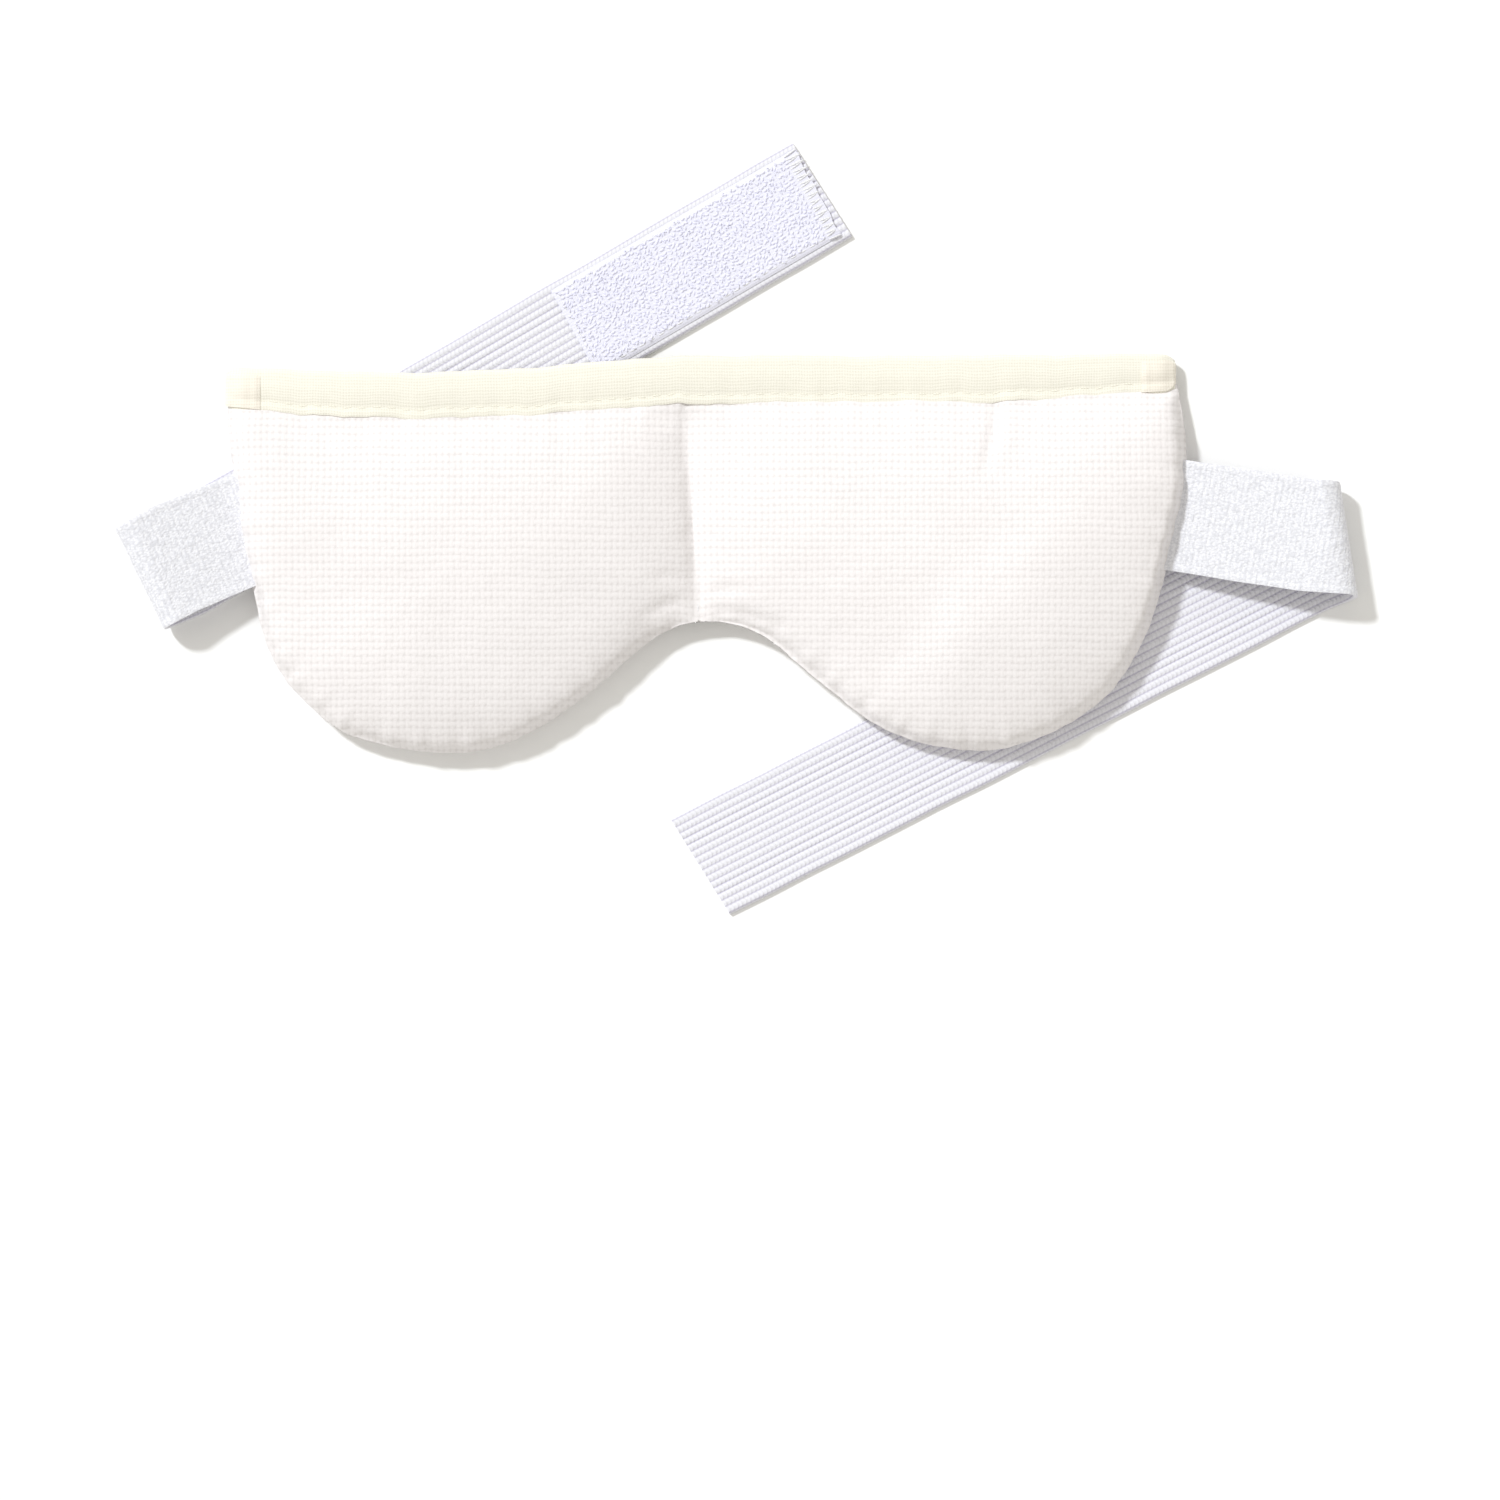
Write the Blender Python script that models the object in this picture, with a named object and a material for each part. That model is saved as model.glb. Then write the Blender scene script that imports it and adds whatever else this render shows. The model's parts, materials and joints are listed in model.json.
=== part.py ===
"""Eye pillow: two bead-filled lobes joined at a nose seam, a bound top edge and a strap on each side.

The layout is drawn in millimetres, seen from above: x runs from the left strap to the right one, y
from the chin side up to the bound edge, and the nose seam stands near x = 0 with the bound edge at
y = 0. Everything lies on z = 0. At the end the whole object is moved so that the middle of its
footprint is the origin.
"""

import math

import bmesh
import bpy
from mathutils import Vector

MM = 0.001

# The fabric pillow
SEAM_LEVEL = 5.2            # height of the flat seam that runs round each lobe
FRONT_CROWN = 10.0          # how far the front panel rises above the seam
BACK_CROWN = 8.0            # how far the back panel would hang below it, before the table flattens it
CLOTH = 0.6                 # thickness of the woven cover
LINER = 0.4                 # thickness of the inner pouch's cloth
GAP = 0.3                   # room between neighbouring layers
SEAM_LIP = 0.8              # flat rim of the cover outside the crown
CROWN_POWER = 2.2           # how flat the crown's middle is
CROWN_ROUNDING = 0.6        # how steeply it rises from its foot
CROWN_RINGS = (1.0, 0.95, 0.86, 0.73, 0.57, 0.38, 0.19)
POUCH_SHARE = 0.84          # the pouch's outline as a share of the cover's
FILL_SHARE = 0.80           # the bead fill's outline as a share of the cover's
FILL_RIM = 0.2              # half the thickness of the fill at its outline
THREAD_INSET = 0.8          # from the seam's lip inwards to its thread

# The nose seam, where the two lobes fold against each other
NOSE_TOP = (-1.8, 0.0)
NOSE_NOTCH = (2.0, -58.5)
NOSE_CLEARANCE = 0.8        # from the seam line to each lobe's rim
NOSE_STEPS = (-46.0, -34.0, -22.0)   # where the rim beside the nose seam is given a point
BELLY_CLEARANCE = 2.5       # how near the nose seam the belly's own outline comes
BINDING_NOSE_GAP = 3.8      # from the nose seam to the end of each lobe's binding

# Outline of each lobe: the bound top edge, then down the side and round to the nose notch
TOP_EDGE = {
    "left": ((-1.8, 0.0), (-14.0, -0.8), (-36.0, -2.6), (-62.0, -3.8), (-86.0, -3.2), (-104.8, -2.7)),
    "right": ((-1.8, 0.0), (14.0, 0.0), (45.0, 0.0), (78.0, 0.2), (109.8, 0.5)),
}
SIDE_AND_BELLY = {
    "left": (
        (-104.8, -9.0), (-103.8, -22.0), (-100.4, -45.0), (-94.2, -68.0), (-81.5, -82.3), (-66.0, -88.2),
        (-50.0, -88.8), (-36.0, -84.6), (-20.4, -73.7), (-8.0, -63.0), (2.0, -58.5),
    ),
    "right": (
        (110.9, -7.0), (112.4, -25.0), (107.9, -47.6), (99.8, -69.2), (88.5, -80.8), (74.0, -87.4),
        (59.0, -88.2), (45.0, -84.3), (30.0, -73.7), (16.0, -62.3), (2.0, -58.5),
    ),
}
LOBE_CENTRE = {"left": (-53.0, -47.0), "right": (57.0, -47.0)}

# The bound top edge
BINDING_DEPTH = 10.0
BINDING_TAPE = 0.7
HEM_DEPTH = 12.0            # from the bound edge to the start of the crown
HEM_TOP = 1.1               # from the bound edge to the cover's raw edge inside the fold
BINDING_END = 7.7           # length of the tape's turned-in end
BINDING_TURN = 0.8          # from the bound edge to the turned-in end's upper edge
BINDING_STEPS = 12
STITCH_ROW = 2.3            # from the binding's lower edge to its row of stitches
STITCH_INSET = 0.5          # from the binding's nose end to the row's first stitch

# The elastic straps
STRAP_WIDTH = 25.4
STRAP_THICKNESS = 1.4
STRAP_LENGTH = 206.5        # from the side seam to the strap's end, along the elastic
SWING_OFFSET = 1.7          # from the side seam to the line that the strap swings about
FOLD_GAP = 0.3              # along the elastic, between its pieces on either side of the fold
SLIP_LEAD = 5.0             # how far before and after the fold the band slips sideways
TAIL_START = 2.8            # how far inside the side seam the sewn-in tail starts
TAIL_END = 7.0
STRAP_BED = 2.0             # height of the hollow that a strap leaves in the pillow's underside
BED_MARGIN = 10.0
BED_SLOPE = 4.0
STRAPS = {
    # where it leaves the side seam, its heading, the way to the fold, the fold line's bearing and its
    # radius, and how far the lower run has slipped to its left at the fold and at the strap's end
    "left": {"root": (-101.5, -39.0), "seam": (-98.4, -53.0), "heading": 203.0, "fold_at": 20.9,
             "fold_bearing": 296.0, "radius": 3.9, "slip": (2.2, -1.3)},
    "right": {"root": (110.6, -35.4), "seam": (107.4, -50.0), "heading": -9.0, "fold_at": 34.1,
              "fold_bearing": 279.0, "radius": 4.1, "slip": (2.3, 2.3)},
}

# The hook patch on the end of the left strap
HOOK_LENGTH = 64.9
HOOK_MARGIN = 1.6           # from the strap's selvedge to the patch's side
HOOK_END = 1.2              # from the strap's cut end to the patch's end
HOOK_BACKING = 0.4          # thickness of the patch's plain border
HOOK_THICKNESS = 1.3        # thickness where the hooks stand
HOOK_SIDE_BORDER = 2.2
HOOK_END_BORDER = 3.8
HOOK_ROW = 1.1              # from the patch's edge to its row of stitches
OVERLOCK_TEETH = 14
OVERLOCK_NEAR = 0.6         # from the patch's end to the overlock thread's outer points
OVERLOCK_FAR = 2.8          # and to its inner points

THREAD_RADIUS = 0.2
THREAD_SIDES = 6

COLOURS = {
    "cover_cloth": ((0.90, 0.88, 0.85), 0.9),
    "liner_cloth": ((0.86, 0.84, 0.79), 0.9),
    "flax_seed": ((0.33, 0.19, 0.09), 0.6),
    "binding_tape": ((0.93, 0.91, 0.80), 0.8),
    "elastic": ((0.84, 0.84, 0.90), 0.8),
    "hook_tape": ((0.82, 0.81, 0.90), 0.6),
    "thread": ((0.92, 0.91, 0.88), 0.6),
}


def material(name):
    """The named Principled material, made once."""
    found = bpy.data.materials.get(name)
    if found:
        return found
    colour, roughness = COLOURS[name]
    made = bpy.data.materials.new(name)
    made.use_nodes = True
    shader = made.node_tree.nodes["Principled BSDF"]
    shader.inputs["Base Color"].default_value = (*colour, 1.0)
    shader.inputs["Roughness"].default_value = roughness
    shader.inputs["Metallic"].default_value = 0.0
    return made


def add_empty(name, place, parent=None):
    """An empty at a place given in millimetres, which carries one moving group of pieces."""
    empty = bpy.data.objects.new(name, None)
    empty.empty_display_size = 10 * MM
    empty.location = Vector(place) * MM
    if parent:
        empty.parent = parent
        empty.location -= world_place(parent)
    bpy.context.scene.collection.objects.link(empty)
    return empty


def world_place(empty):
    """Where an empty stands in the world, following its parents."""
    place = empty.location.copy()
    while empty.parent:
        empty = empty.parent
        place += empty.location
    return place


def add_piece(name, group, look, points, faces):
    """A mesh object from points in millimetres, carried by the group's empty."""
    origin = world_place(group)
    mesh = bpy.data.meshes.new(name)
    mesh.from_pydata([Vector(p) * MM - origin for p in points], [], faces)
    shape = bmesh.new()
    shape.from_mesh(mesh)
    bmesh.ops.recalc_face_normals(shape, faces=shape.faces)
    shape.to_mesh(mesh)
    shape.free()
    mesh.shade_smooth()
    mesh.set_sharp_from_angle(angle=math.radians(35))
    mesh.materials.append(material(look))
    piece = bpy.data.objects.new(name, mesh)
    piece.parent = group
    bpy.context.scene.collection.objects.link(piece)
    return piece


def smooth_curve(points, steps):
    """A Catmull-Rom curve through the points, with this many steps between neighbours."""
    knots = [Vector(p) for p in points]
    knots = [2 * knots[0] - knots[1], *knots, 2 * knots[-1] - knots[-2]]
    curve = []
    for a, b, c, d in zip(knots, knots[1:], knots[2:], knots[3:]):
        for step in range(steps):
            t = step / steps
            bend = (2 * a - 5 * b + 4 * c - d) * t * t
            twist = (3 * b - a - 3 * c + d) * t ** 3
            curve.append(0.5 * (2 * b + (c - a) * t + bend + twist))
    curve.append(knots[-2])
    return curve


def along(heading):
    """The unit vector of a bearing in degrees, counted from +x towards +y."""
    return Vector((math.cos(math.radians(heading)), math.sin(math.radians(heading))))


def top_edge_height(side, x):
    """The y of the bound edge at this x."""
    curve = smooth_curve(TOP_EDGE[side], 6)
    for a, b in zip(curve, curve[1:]):
        if min(a.x, b.x) <= x <= max(a.x, b.x):
            return a.y + (b.y - a.y) * (x - a.x) / (b.x - a.x)
    return min(curve, key=lambda point: abs(point.x - x)).y


def nose_point(y, clearance):
    """A point level with y on the nose seam, moved sideways by the clearance."""
    share = (y - NOSE_TOP[1]) / (NOSE_NOTCH[1] - NOSE_TOP[1])
    return Vector((NOSE_TOP[0] + share * (NOSE_NOTCH[0] - NOSE_TOP[0]) + clearance, y))


def lobe_rings(side):
    """The cover's raw edge and the crown's foot, as two loops of matching points."""
    away = -NOSE_CLEARANCE if side == "left" else NOSE_CLEARANCE
    centre = Vector(LOBE_CENTRE[side])
    edge, foot = [], []
    top = smooth_curve(TOP_EDGE[side], 2)[1:]
    for point in top:
        edge.append(point - Vector((0, HEM_TOP)))
        foot.append(point - Vector((0, HEM_DEPTH)))
    edge[-1].x = foot[-1].x = SIDE_AND_BELLY[side][0][0]
    belly = smooth_curve(SIDE_AND_BELLY[side], 2)
    for point in belly:
        if point.y > foot[len(top) - 1].y - SEAM_LIP:
            continue
        if abs(point.x - nose_point(point.y, 0).x) < BELLY_CLEARANCE:
            continue
        edge.append(point)
        foot.append(point + (centre - point).normalized() * SEAM_LIP)
    lip = math.copysign(SEAM_LIP, away)
    for y in (NOSE_NOTCH[1] - GAP, *NOSE_STEPS, -HEM_DEPTH):
        edge.append(nose_point(y, away))
        foot.append(nose_point(y, away + lip))
    edge.append(nose_point(-HEM_TOP, away))
    foot.append(nose_point(-HEM_DEPTH + GAP, away + 2 * lip))
    return edge, foot


def bed_height(x, y, spread):
    """The lowest that a layer's underside may be here: the table, or the strap that passes under it."""
    height = 0.0
    for name in STRAPS:
        strap = Strap(name)
        beyond = strap.distance_under(x, y) - STRAP_WIDTH / 2 - BED_MARGIN - spread
        share = min(1.0, max(0.0, 1.0 - beyond / BED_SLOPE))
        height = max(height, STRAP_BED * share)
    return height


def crown(t, height):
    """Height of a lobe's crown at a share t of the way from its middle to its foot."""
    return height * (1.0 - min(t, 1.0) ** CROWN_POWER) ** CROWN_ROUNDING


class Layer:
    """One layer of a lobe: how far its outline, crown, underside and strap bed differ from the cover's."""

    def __init__(self, share, inset, rim, spread):
        self.share = share
        self.inset = inset
        self.rim = rim
        self.spread = spread

    def top(self, x, y, t):
        return SEAM_LEVEL + self.rim + crown(t, FRONT_CROWN - self.inset)

    def bottom(self, x, y, t):
        hanging = SEAM_LEVEL - self.rim - crown(t, BACK_CROWN - self.inset)
        return max(hanging, bed_height(x, y, self.spread) + self.inset)


COVER = Layer(1.0, 0.0, GAP / 2 + CLOTH, 0.0)
POUCH = Layer(POUCH_SHARE, CLOTH + GAP, GAP / 2 + LINER, 7.0)
FILL = Layer(FILL_SHARE, CLOTH + LINER + 2 * GAP, FILL_RIM, 14.0)


def radial_solid(name, group, look, rings, centre, upper, lower):
    """A closed solid between two height functions of x, y and the ring's share, on a grid of nested rings."""
    points = []
    for sheet in (upper, lower):
        for t, ring in rings:
            points += [(p.x, p.y, sheet(p.x, p.y, t)) for p in ring]
        points.append((centre.x, centre.y, sheet(centre.x, centre.y, 0.0)))
    count = len(rings[0][1])
    per_sheet = count * len(rings) + 1
    faces = []
    for base in (0, per_sheet):
        for k in range(len(rings) - 1):
            for i in range(count):
                a = base + k * count + i
                b = base + k * count + (i + 1) % count
                faces.append((a, b, b + count, a + count))
        last = base + (len(rings) - 1) * count
        for i in range(count):
            faces.append((last + i, last + (i + 1) % count, base + per_sheet - 1))
    for i in range(count):
        j = (i + 1) % count
        faces.append((i, j, j + per_sheet, i + per_sheet))
    return add_piece(name, group, look, points, faces)


def layer_rings(side, layer):
    """Nested loops of a layer, each with its share of the way out, from the outermost in."""
    edge, foot = lobe_rings(side)
    centre = Vector(LOBE_CENTRE[side])
    rings = [(1.0, edge)] if layer is COVER else []
    for t in CROWN_RINGS:
        rings.append((t, [centre + (p - centre) * t * layer.share for p in foot]))
    return rings, centre


def make_lobe(side, group):
    """The cover's two panels, the pouch's two panels and the fill of one lobe."""
    for layer, cloth, look, part in (
        (COVER, CLOTH, "cover_cloth", "cover"),
        (POUCH, LINER, "liner_cloth", "pouch"),
    ):
        rings, centre = layer_rings(side, layer)
        radial_solid(
            f"{side}_front_{part}", group, look, rings, centre,
            layer.top, lambda x, y, t: layer.top(x, y, t) - cloth,
        )
        radial_solid(
            f"{side}_back_{part}", group, look, rings, centre,
            lambda x, y, t: layer.bottom(x, y, t) + cloth, layer.bottom,
        )
    rings, centre = layer_rings(side, FILL)
    radial_solid(f"{side}_bead_fill", group, "flax_seed", rings, centre, FILL.top, FILL.bottom)


def tube(name, group, look, path):
    """A thread along a path of points in millimetres."""
    points, faces = [], []
    for i, place in enumerate(path):
        tangent = (path[min(i + 1, len(path) - 1)] - path[max(i - 1, 0)]).normalized()
        side = tangent.cross(Vector((0, 0, 1))).normalized()
        up = side.cross(tangent)
        for k in range(THREAD_SIDES):
            turn = math.tau * k / THREAD_SIDES
            points.append(place + THREAD_RADIUS * (math.cos(turn) * side + math.sin(turn) * up))
    for i in range(len(path) - 1):
        for k in range(THREAD_SIDES):
            a = i * THREAD_SIDES + k
            b = i * THREAD_SIDES + (k + 1) % THREAD_SIDES
            faces.append((a, b, b + THREAD_SIDES, a + THREAD_SIDES))
    faces.append(tuple(range(THREAD_SIDES)))
    faces.append(tuple(range(len(points) - THREAD_SIDES, len(points))))
    return add_piece(name, group, look, points, faces)


def make_edge_thread(side, group):
    """The seam's thread, just inside the lobe's edge, from the outer top corner round to the nose notch."""
    edge, _ = lobe_rings(side)
    centre = Vector(LOBE_CENTRE[side])
    corner = len(smooth_curve(TOP_EDGE[side], 2)) - 1
    nose_side = len(NOSE_STEPS) + 3
    inset = SEAM_LIP + THREAD_INSET
    inner = [p + (centre - p).normalized() * inset for p in edge[corner:-nose_side]]
    tube(f"{side}_edge_thread", group, "thread", [Vector((p.x, p.y, SEAM_LEVEL)) for p in inner])


def lobe_reach(side):
    """How far the lobe's outer top corner stands from the nose seam."""
    return abs(SIDE_AND_BELLY[side][0][0])


def binding_path(side, start, end):
    """Points of the bound edge between two distances from the nose seam."""
    sign = -1 if side == "left" else 1
    xs = [sign * (start + (end - start) * i / BINDING_STEPS) for i in range(BINDING_STEPS + 1)]
    return [Vector((x, top_edge_height(side, x))) for x in xs]


def make_binding(side, group):
    """The tape folded over the top edge: one solid with a U-shaped section, open towards the lobes."""
    inner = CLOTH + GAP / 2 + GAP
    outer = inner + BINDING_TAPE
    section = (
        (-BINDING_DEPTH, outer), (-BINDING_TAPE, outer), (0.0, inner), (0.0, -inner),
        (-BINDING_TAPE, -outer), (-BINDING_DEPTH, -outer), (-BINDING_DEPTH, -inner),
        (-BINDING_TAPE, -inner), (-BINDING_TAPE, inner), (-BINDING_DEPTH, inner),
    )
    path = binding_path(side, BINDING_NOSE_GAP, lobe_reach(side))
    points = [(p.x, p.y + dy, SEAM_LEVEL + dz) for p in path for dy, dz in section]
    size = len(section)
    faces = [
        (i * size + k, i * size + (k + 1) % size, (i + 1) * size + (k + 1) % size, (i + 1) * size + k)
        for i in range(len(path) - 1)
        for k in range(size)
    ]
    # each end is closed by three flat faces: the front flap, the fold and the back flap
    for end in (0, (len(path) - 1) * size):
        faces.append(tuple(end + k for k in (0, 1, 8, 9)))
        faces.append(tuple(end + k for k in (1, 2, 3, 4, 7, 8)))
        faces.append(tuple(end + k for k in (4, 5, 6, 7)))
    add_piece(f"{side}_top_binding", group, "binding_tape", points, faces)


def make_binding_end(side, group):
    """The tape's turned-over end, which lies on the front of the binding at the outer corner."""
    level = SEAM_LEVEL + CLOTH + GAP / 2 + GAP + BINDING_TAPE + GAP
    path = binding_path(side, lobe_reach(side) - BINDING_END, lobe_reach(side))
    section = (
        (-BINDING_TURN, 0), (-BINDING_TURN, BINDING_TAPE),
        (-BINDING_DEPTH, BINDING_TAPE), (-BINDING_DEPTH, 0),
    )
    points, faces = [], []
    for p in path:
        points += [(p.x, p.y + dy, level + dz) for dy, dz in section]
    for i in range(len(path) - 1):
        for k in range(4):
            a, b = i * 4 + k, i * 4 + (k + 1) % 4
            faces.append((a, b, b + 4, a + 4))
    faces.append((0, 1, 2, 3))
    faces.append(tuple(len(points) - 4 + k for k in range(4)))
    add_piece(f"{side}_binding_end", group, "binding_tape", points, faces)


def make_binding_threads(side, group):
    """The lockstitch that holds the binding: its needle thread in front, its bobbin thread behind."""
    level = CLOTH + GAP / 2 + GAP + BINDING_TAPE + THREAD_RADIUS + GAP
    end = lobe_reach(side) - BINDING_END - BINDING_TURN
    path = binding_path(side, BINDING_NOSE_GAP + STITCH_INSET, end)
    drop = BINDING_DEPTH - STITCH_ROW
    for thread, face in (("needle_thread", 1), ("bobbin_thread", -1)):
        row = [Vector((p.x, p.y - drop, SEAM_LEVEL + face * level)) for p in path]
        tube(f"{side}_binding_{thread}", group, "thread", row)


def make_nose_thread(group):
    """The quilting thread that closes the nose seam between the two lobes."""
    steps = 8
    ys = [-HEM_DEPTH + i * (NOSE_NOTCH[1] + HEM_DEPTH) / steps for i in range(steps + 1)]
    row = [nose_point(y, 0) for y in ys]
    tube("nose_seam_thread", group, "thread", [Vector((p.x, p.y, SEAM_LEVEL)) for p in row])


class Strap:
    """A flat elastic band that leaves the side seam, folds under along a slanted line and runs on below.

    A place on it is s, the distance along the band from the side seam, and w, the distance to the left of its
    middle, looking along it. The band bends only round the fold, so its length and width keep their size, and
    as it folds it slips a little sideways.
    """

    def __init__(self, side):
        shape = STRAPS[side]
        self.root = Vector(shape["root"])
        self.forward = along(shape["heading"])
        self.across = along(shape["heading"] + 90)
        self.fold = along(shape["fold_bearing"])
        self.out = along(shape["fold_bearing"] + 90)
        if self.out.dot(self.forward) < 0:
            self.out = -self.out
        self.seam = (Vector(shape["seam"]) - self.root).normalized()
        self.radius = shape["radius"]
        self.fold_at = shape["fold_at"]
        self.crease = self.root + self.forward * self.fold_at
        self.top = STRAP_THICKNESS / 2 + 2 * self.radius
        self.half_turn = math.pi * self.radius
        self.slip_start = self.fold_at - SLIP_LEAD
        self.slip_end = self.fold_at + self.half_turn / self.forward.dot(self.out) + SLIP_LEAD
        self.slip_at_fold, self.slip_at_end = shape["slip"]

    def slip(self, s):
        """How far the band has slipped to its left at s."""
        if s < self.slip_end:
            share = max(0.0, (s - self.slip_start) / (self.slip_end - self.slip_start))
            return share * self.slip_at_fold
        share = (s - self.slip_end) / (STRAP_LENGTH - self.slip_end)
        return self.slip_at_fold + share * (self.slip_at_end - self.slip_at_fold)

    def at_seam(self, beyond):
        """s as a function of w along a line parallel to the side seam."""
        normal = Vector((-self.seam.y, self.seam.x))
        start = self.root + self.forward * beyond
        return lambda w: (start - self.root - self.across * w).dot(normal) / self.forward.dot(normal)

    def at_fold(self, beyond):
        """s as a function of w along a line parallel to the crease, this far past it along the bend."""
        return lambda w: self.fold_at + (beyond - w * self.across.dot(self.out)) / self.forward.dot(self.out)

    def place(self, s, w, lift=0.0):
        """The point of the band's middle surface at s, w, moved off its outer face by lift."""
        flat = self.root + self.forward * s + self.across * (w + self.slip(s))
        beyond = (flat - self.crease).dot(self.out)
        sideways = self.crease + self.fold * (flat - self.crease).dot(self.fold)
        if beyond <= 0:
            share = min(1.0, max(0.0, s / self.fold_at))
            level = SEAM_LEVEL + (self.top - SEAM_LEVEL) * share
            return Vector((flat.x, flat.y, level + lift))
        middle = self.top - self.radius
        if beyond < self.half_turn:
            turn = beyond / self.radius
            reach = sideways + self.out * (self.radius + lift) * math.sin(turn)
            return Vector((reach.x, reach.y, middle + (self.radius + lift) * math.cos(turn)))
        back = sideways - self.out * (beyond - self.half_turn)
        return Vector((back.x, back.y, middle - self.radius - lift))

    def distance_under(self, x, y):
        """How far a place is from the middle line of the band's lower run."""
        start = self.place(self.fold_at + self.half_turn / self.forward.dot(self.out), 0)
        end = self.place(STRAP_LENGTH, 0)
        run = Vector((end.x - start.x, end.y - start.y)).normalized()
        offset = Vector((x - start.x, y - start.y))
        return abs(run.x * offset.y - run.y * offset.x)


def band(name, group, look, strap, start, end, half_width, low, high, steps):
    """A length of band between two cuts, from lift low to lift high off the middle surface."""
    points, faces = [], []
    for i in range(steps + 1):
        for w, lift in ((-half_width, low), (half_width, low), (half_width, high), (-half_width, high)):
            s = start(w) + (end(w) - start(w)) * i / steps
            points.append(strap.place(s, w, lift))
    for i in range(steps):
        for k in range(4):
            a, b = i * 4 + k, i * 4 + (k + 1) % 4
            faces.append((a, b, b + 4, a + 4))
    faces.append((0, 1, 2, 3))
    faces.append(tuple(len(points) - 4 + k for k in range(4)))
    return add_piece(name, group, look, points, faces)


def make_strap(side, strap, lobe, outer, run):
    """One strap: its sewn-in tail, the length above the table, the fold and the length below."""
    half, skin = STRAP_WIDTH / 2, STRAP_THICKNESS / 2
    band(f"{side}_strap_tail", lobe, "elastic", strap,
         strap.at_seam(-TAIL_END), strap.at_seam(-TAIL_START), half, -skin, skin, 1)
    band(f"{side}_strap_outer", outer, "elastic", strap,
         strap.at_seam(SWING_OFFSET), strap.at_fold(-FOLD_GAP / 2), half, -skin, skin, 4)
    band(f"{side}_strap_fold", outer, "elastic", strap,
         strap.at_fold(FOLD_GAP / 2), strap.at_fold(strap.half_turn - FOLD_GAP / 2), half, -skin, skin, 12)
    band(f"{side}_strap_run", run, "elastic", strap,
         strap.at_fold(strap.half_turn + FOLD_GAP / 2), lambda w: STRAP_LENGTH, half, -skin, skin, 4)


def make_hook_patch(strap, run):
    """The hook tape: a thin plain border round a thicker field of hooks, as one closed body."""
    half = STRAP_WIDTH / 2 - HOOK_MARGIN
    start, end = STRAP_LENGTH - HOOK_LENGTH, STRAP_LENGTH - HOOK_END
    under = -STRAP_THICKNESS / 2 - GAP
    rings = (
        (0, 0, under), (0, 0, under - HOOK_BACKING),
        (HOOK_SIDE_BORDER, HOOK_END_BORDER, under - HOOK_BACKING),
        (HOOK_SIDE_BORDER, HOOK_END_BORDER, under - HOOK_THICKNESS),
    )
    points, faces = [], []
    for side, tip, lift in rings:
        near, far = start + side, end - tip
        for s, w in ((near, -half + side), (far, -half + side), (far, half - side), (near, half - side)):
            points.append(strap.place(s, w, lift))
    for i in range(len(rings) - 1):
        for k in range(4):
            a, b = i * 4 + k, i * 4 + (k + 1) % 4
            faces.append((a, b, b + 4, a + 4))
    faces.append((0, 1, 2, 3))
    faces.append(tuple(len(points) - 4 + k for k in range(4)))
    add_piece("hook_patch", run, "hook_tape", points, faces)


def make_hook_threads(strap, run):
    """The row of stitches that holds the hook patch, and the overlock thread across the strap's end."""
    half = STRAP_WIDTH / 2 - HOOK_MARGIN
    start, end = STRAP_LENGTH - HOOK_LENGTH, STRAP_LENGTH - HOOK_END
    lift = -STRAP_THICKNESS / 2 - GAP - HOOK_BACKING - GAP - THREAD_RADIUS
    side = half - HOOK_ROW
    near, far = start + HOOK_ROW, end - HOOK_END_BORDER
    row = [strap.place(s, w, lift) for s, w in ((far, -side), (near, -side), (near, side), (far, side))]
    tube("hook_patch_thread", run, "thread", row)
    zigzag = []
    for i in range(OVERLOCK_TEETH + 1):
        w = -half + 2 * half * i / OVERLOCK_TEETH
        s = end - (OVERLOCK_FAR if i % 2 else OVERLOCK_NEAR)
        zigzag.append(strap.place(s, w, lift))
    tube("strap_end_overlock", run, "thread", zigzag)


def clear_scene():
    for thing in list(bpy.data.objects):
        bpy.data.objects.remove(thing)


def centre_footprint(root):
    """Moves the whole object so that the middle of its footprint is the origin."""
    bpy.context.view_layer.update()
    corners = [
        piece.matrix_world @ Vector(corner)
        for piece in bpy.data.objects
        if piece.type == "MESH"
        for corner in piece.bound_box
    ]
    low = Vector([min(c[k] for c in corners) for k in range(3)])
    high = Vector([max(c[k] for c in corners) for k in range(3)])
    root.location -= Vector(((low.x + high.x) / 2, (low.y + high.y) / 2, low.z))
    bpy.context.view_layer.update()


def main():
    clear_scene()
    root = add_empty("eye_pillow", (0, 0, 0))
    left_lobe = add_empty("left_lobe", (0, 0, 0), root)
    right_lobe = add_empty("nose_fold_axis", (*NOSE_NOTCH, SEAM_LEVEL), root)
    for side, lobe in (("left", left_lobe), ("right", right_lobe)):
        make_lobe(side, lobe)
        make_edge_thread(side, lobe)
        make_binding(side, lobe)
        make_binding_end(side, lobe)
        make_binding_threads(side, lobe)
        strap = Strap(side)
        hinge = strap.root + strap.forward * SWING_OFFSET
        outer = add_empty(f"{side}_swing_axis", (hinge.x, hinge.y, SEAM_LEVEL), lobe)
        crease = (strap.crease.x, strap.crease.y, strap.top - strap.radius)
        run = add_empty(f"{side}_unfold_axis", crease, outer)
        make_strap(side, strap, lobe, outer, run)
        if side == "left":
            make_hook_patch(strap, run)
            make_hook_threads(strap, run)
    make_nose_thread(left_lobe)
    centre_footprint(root)


main()
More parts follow.
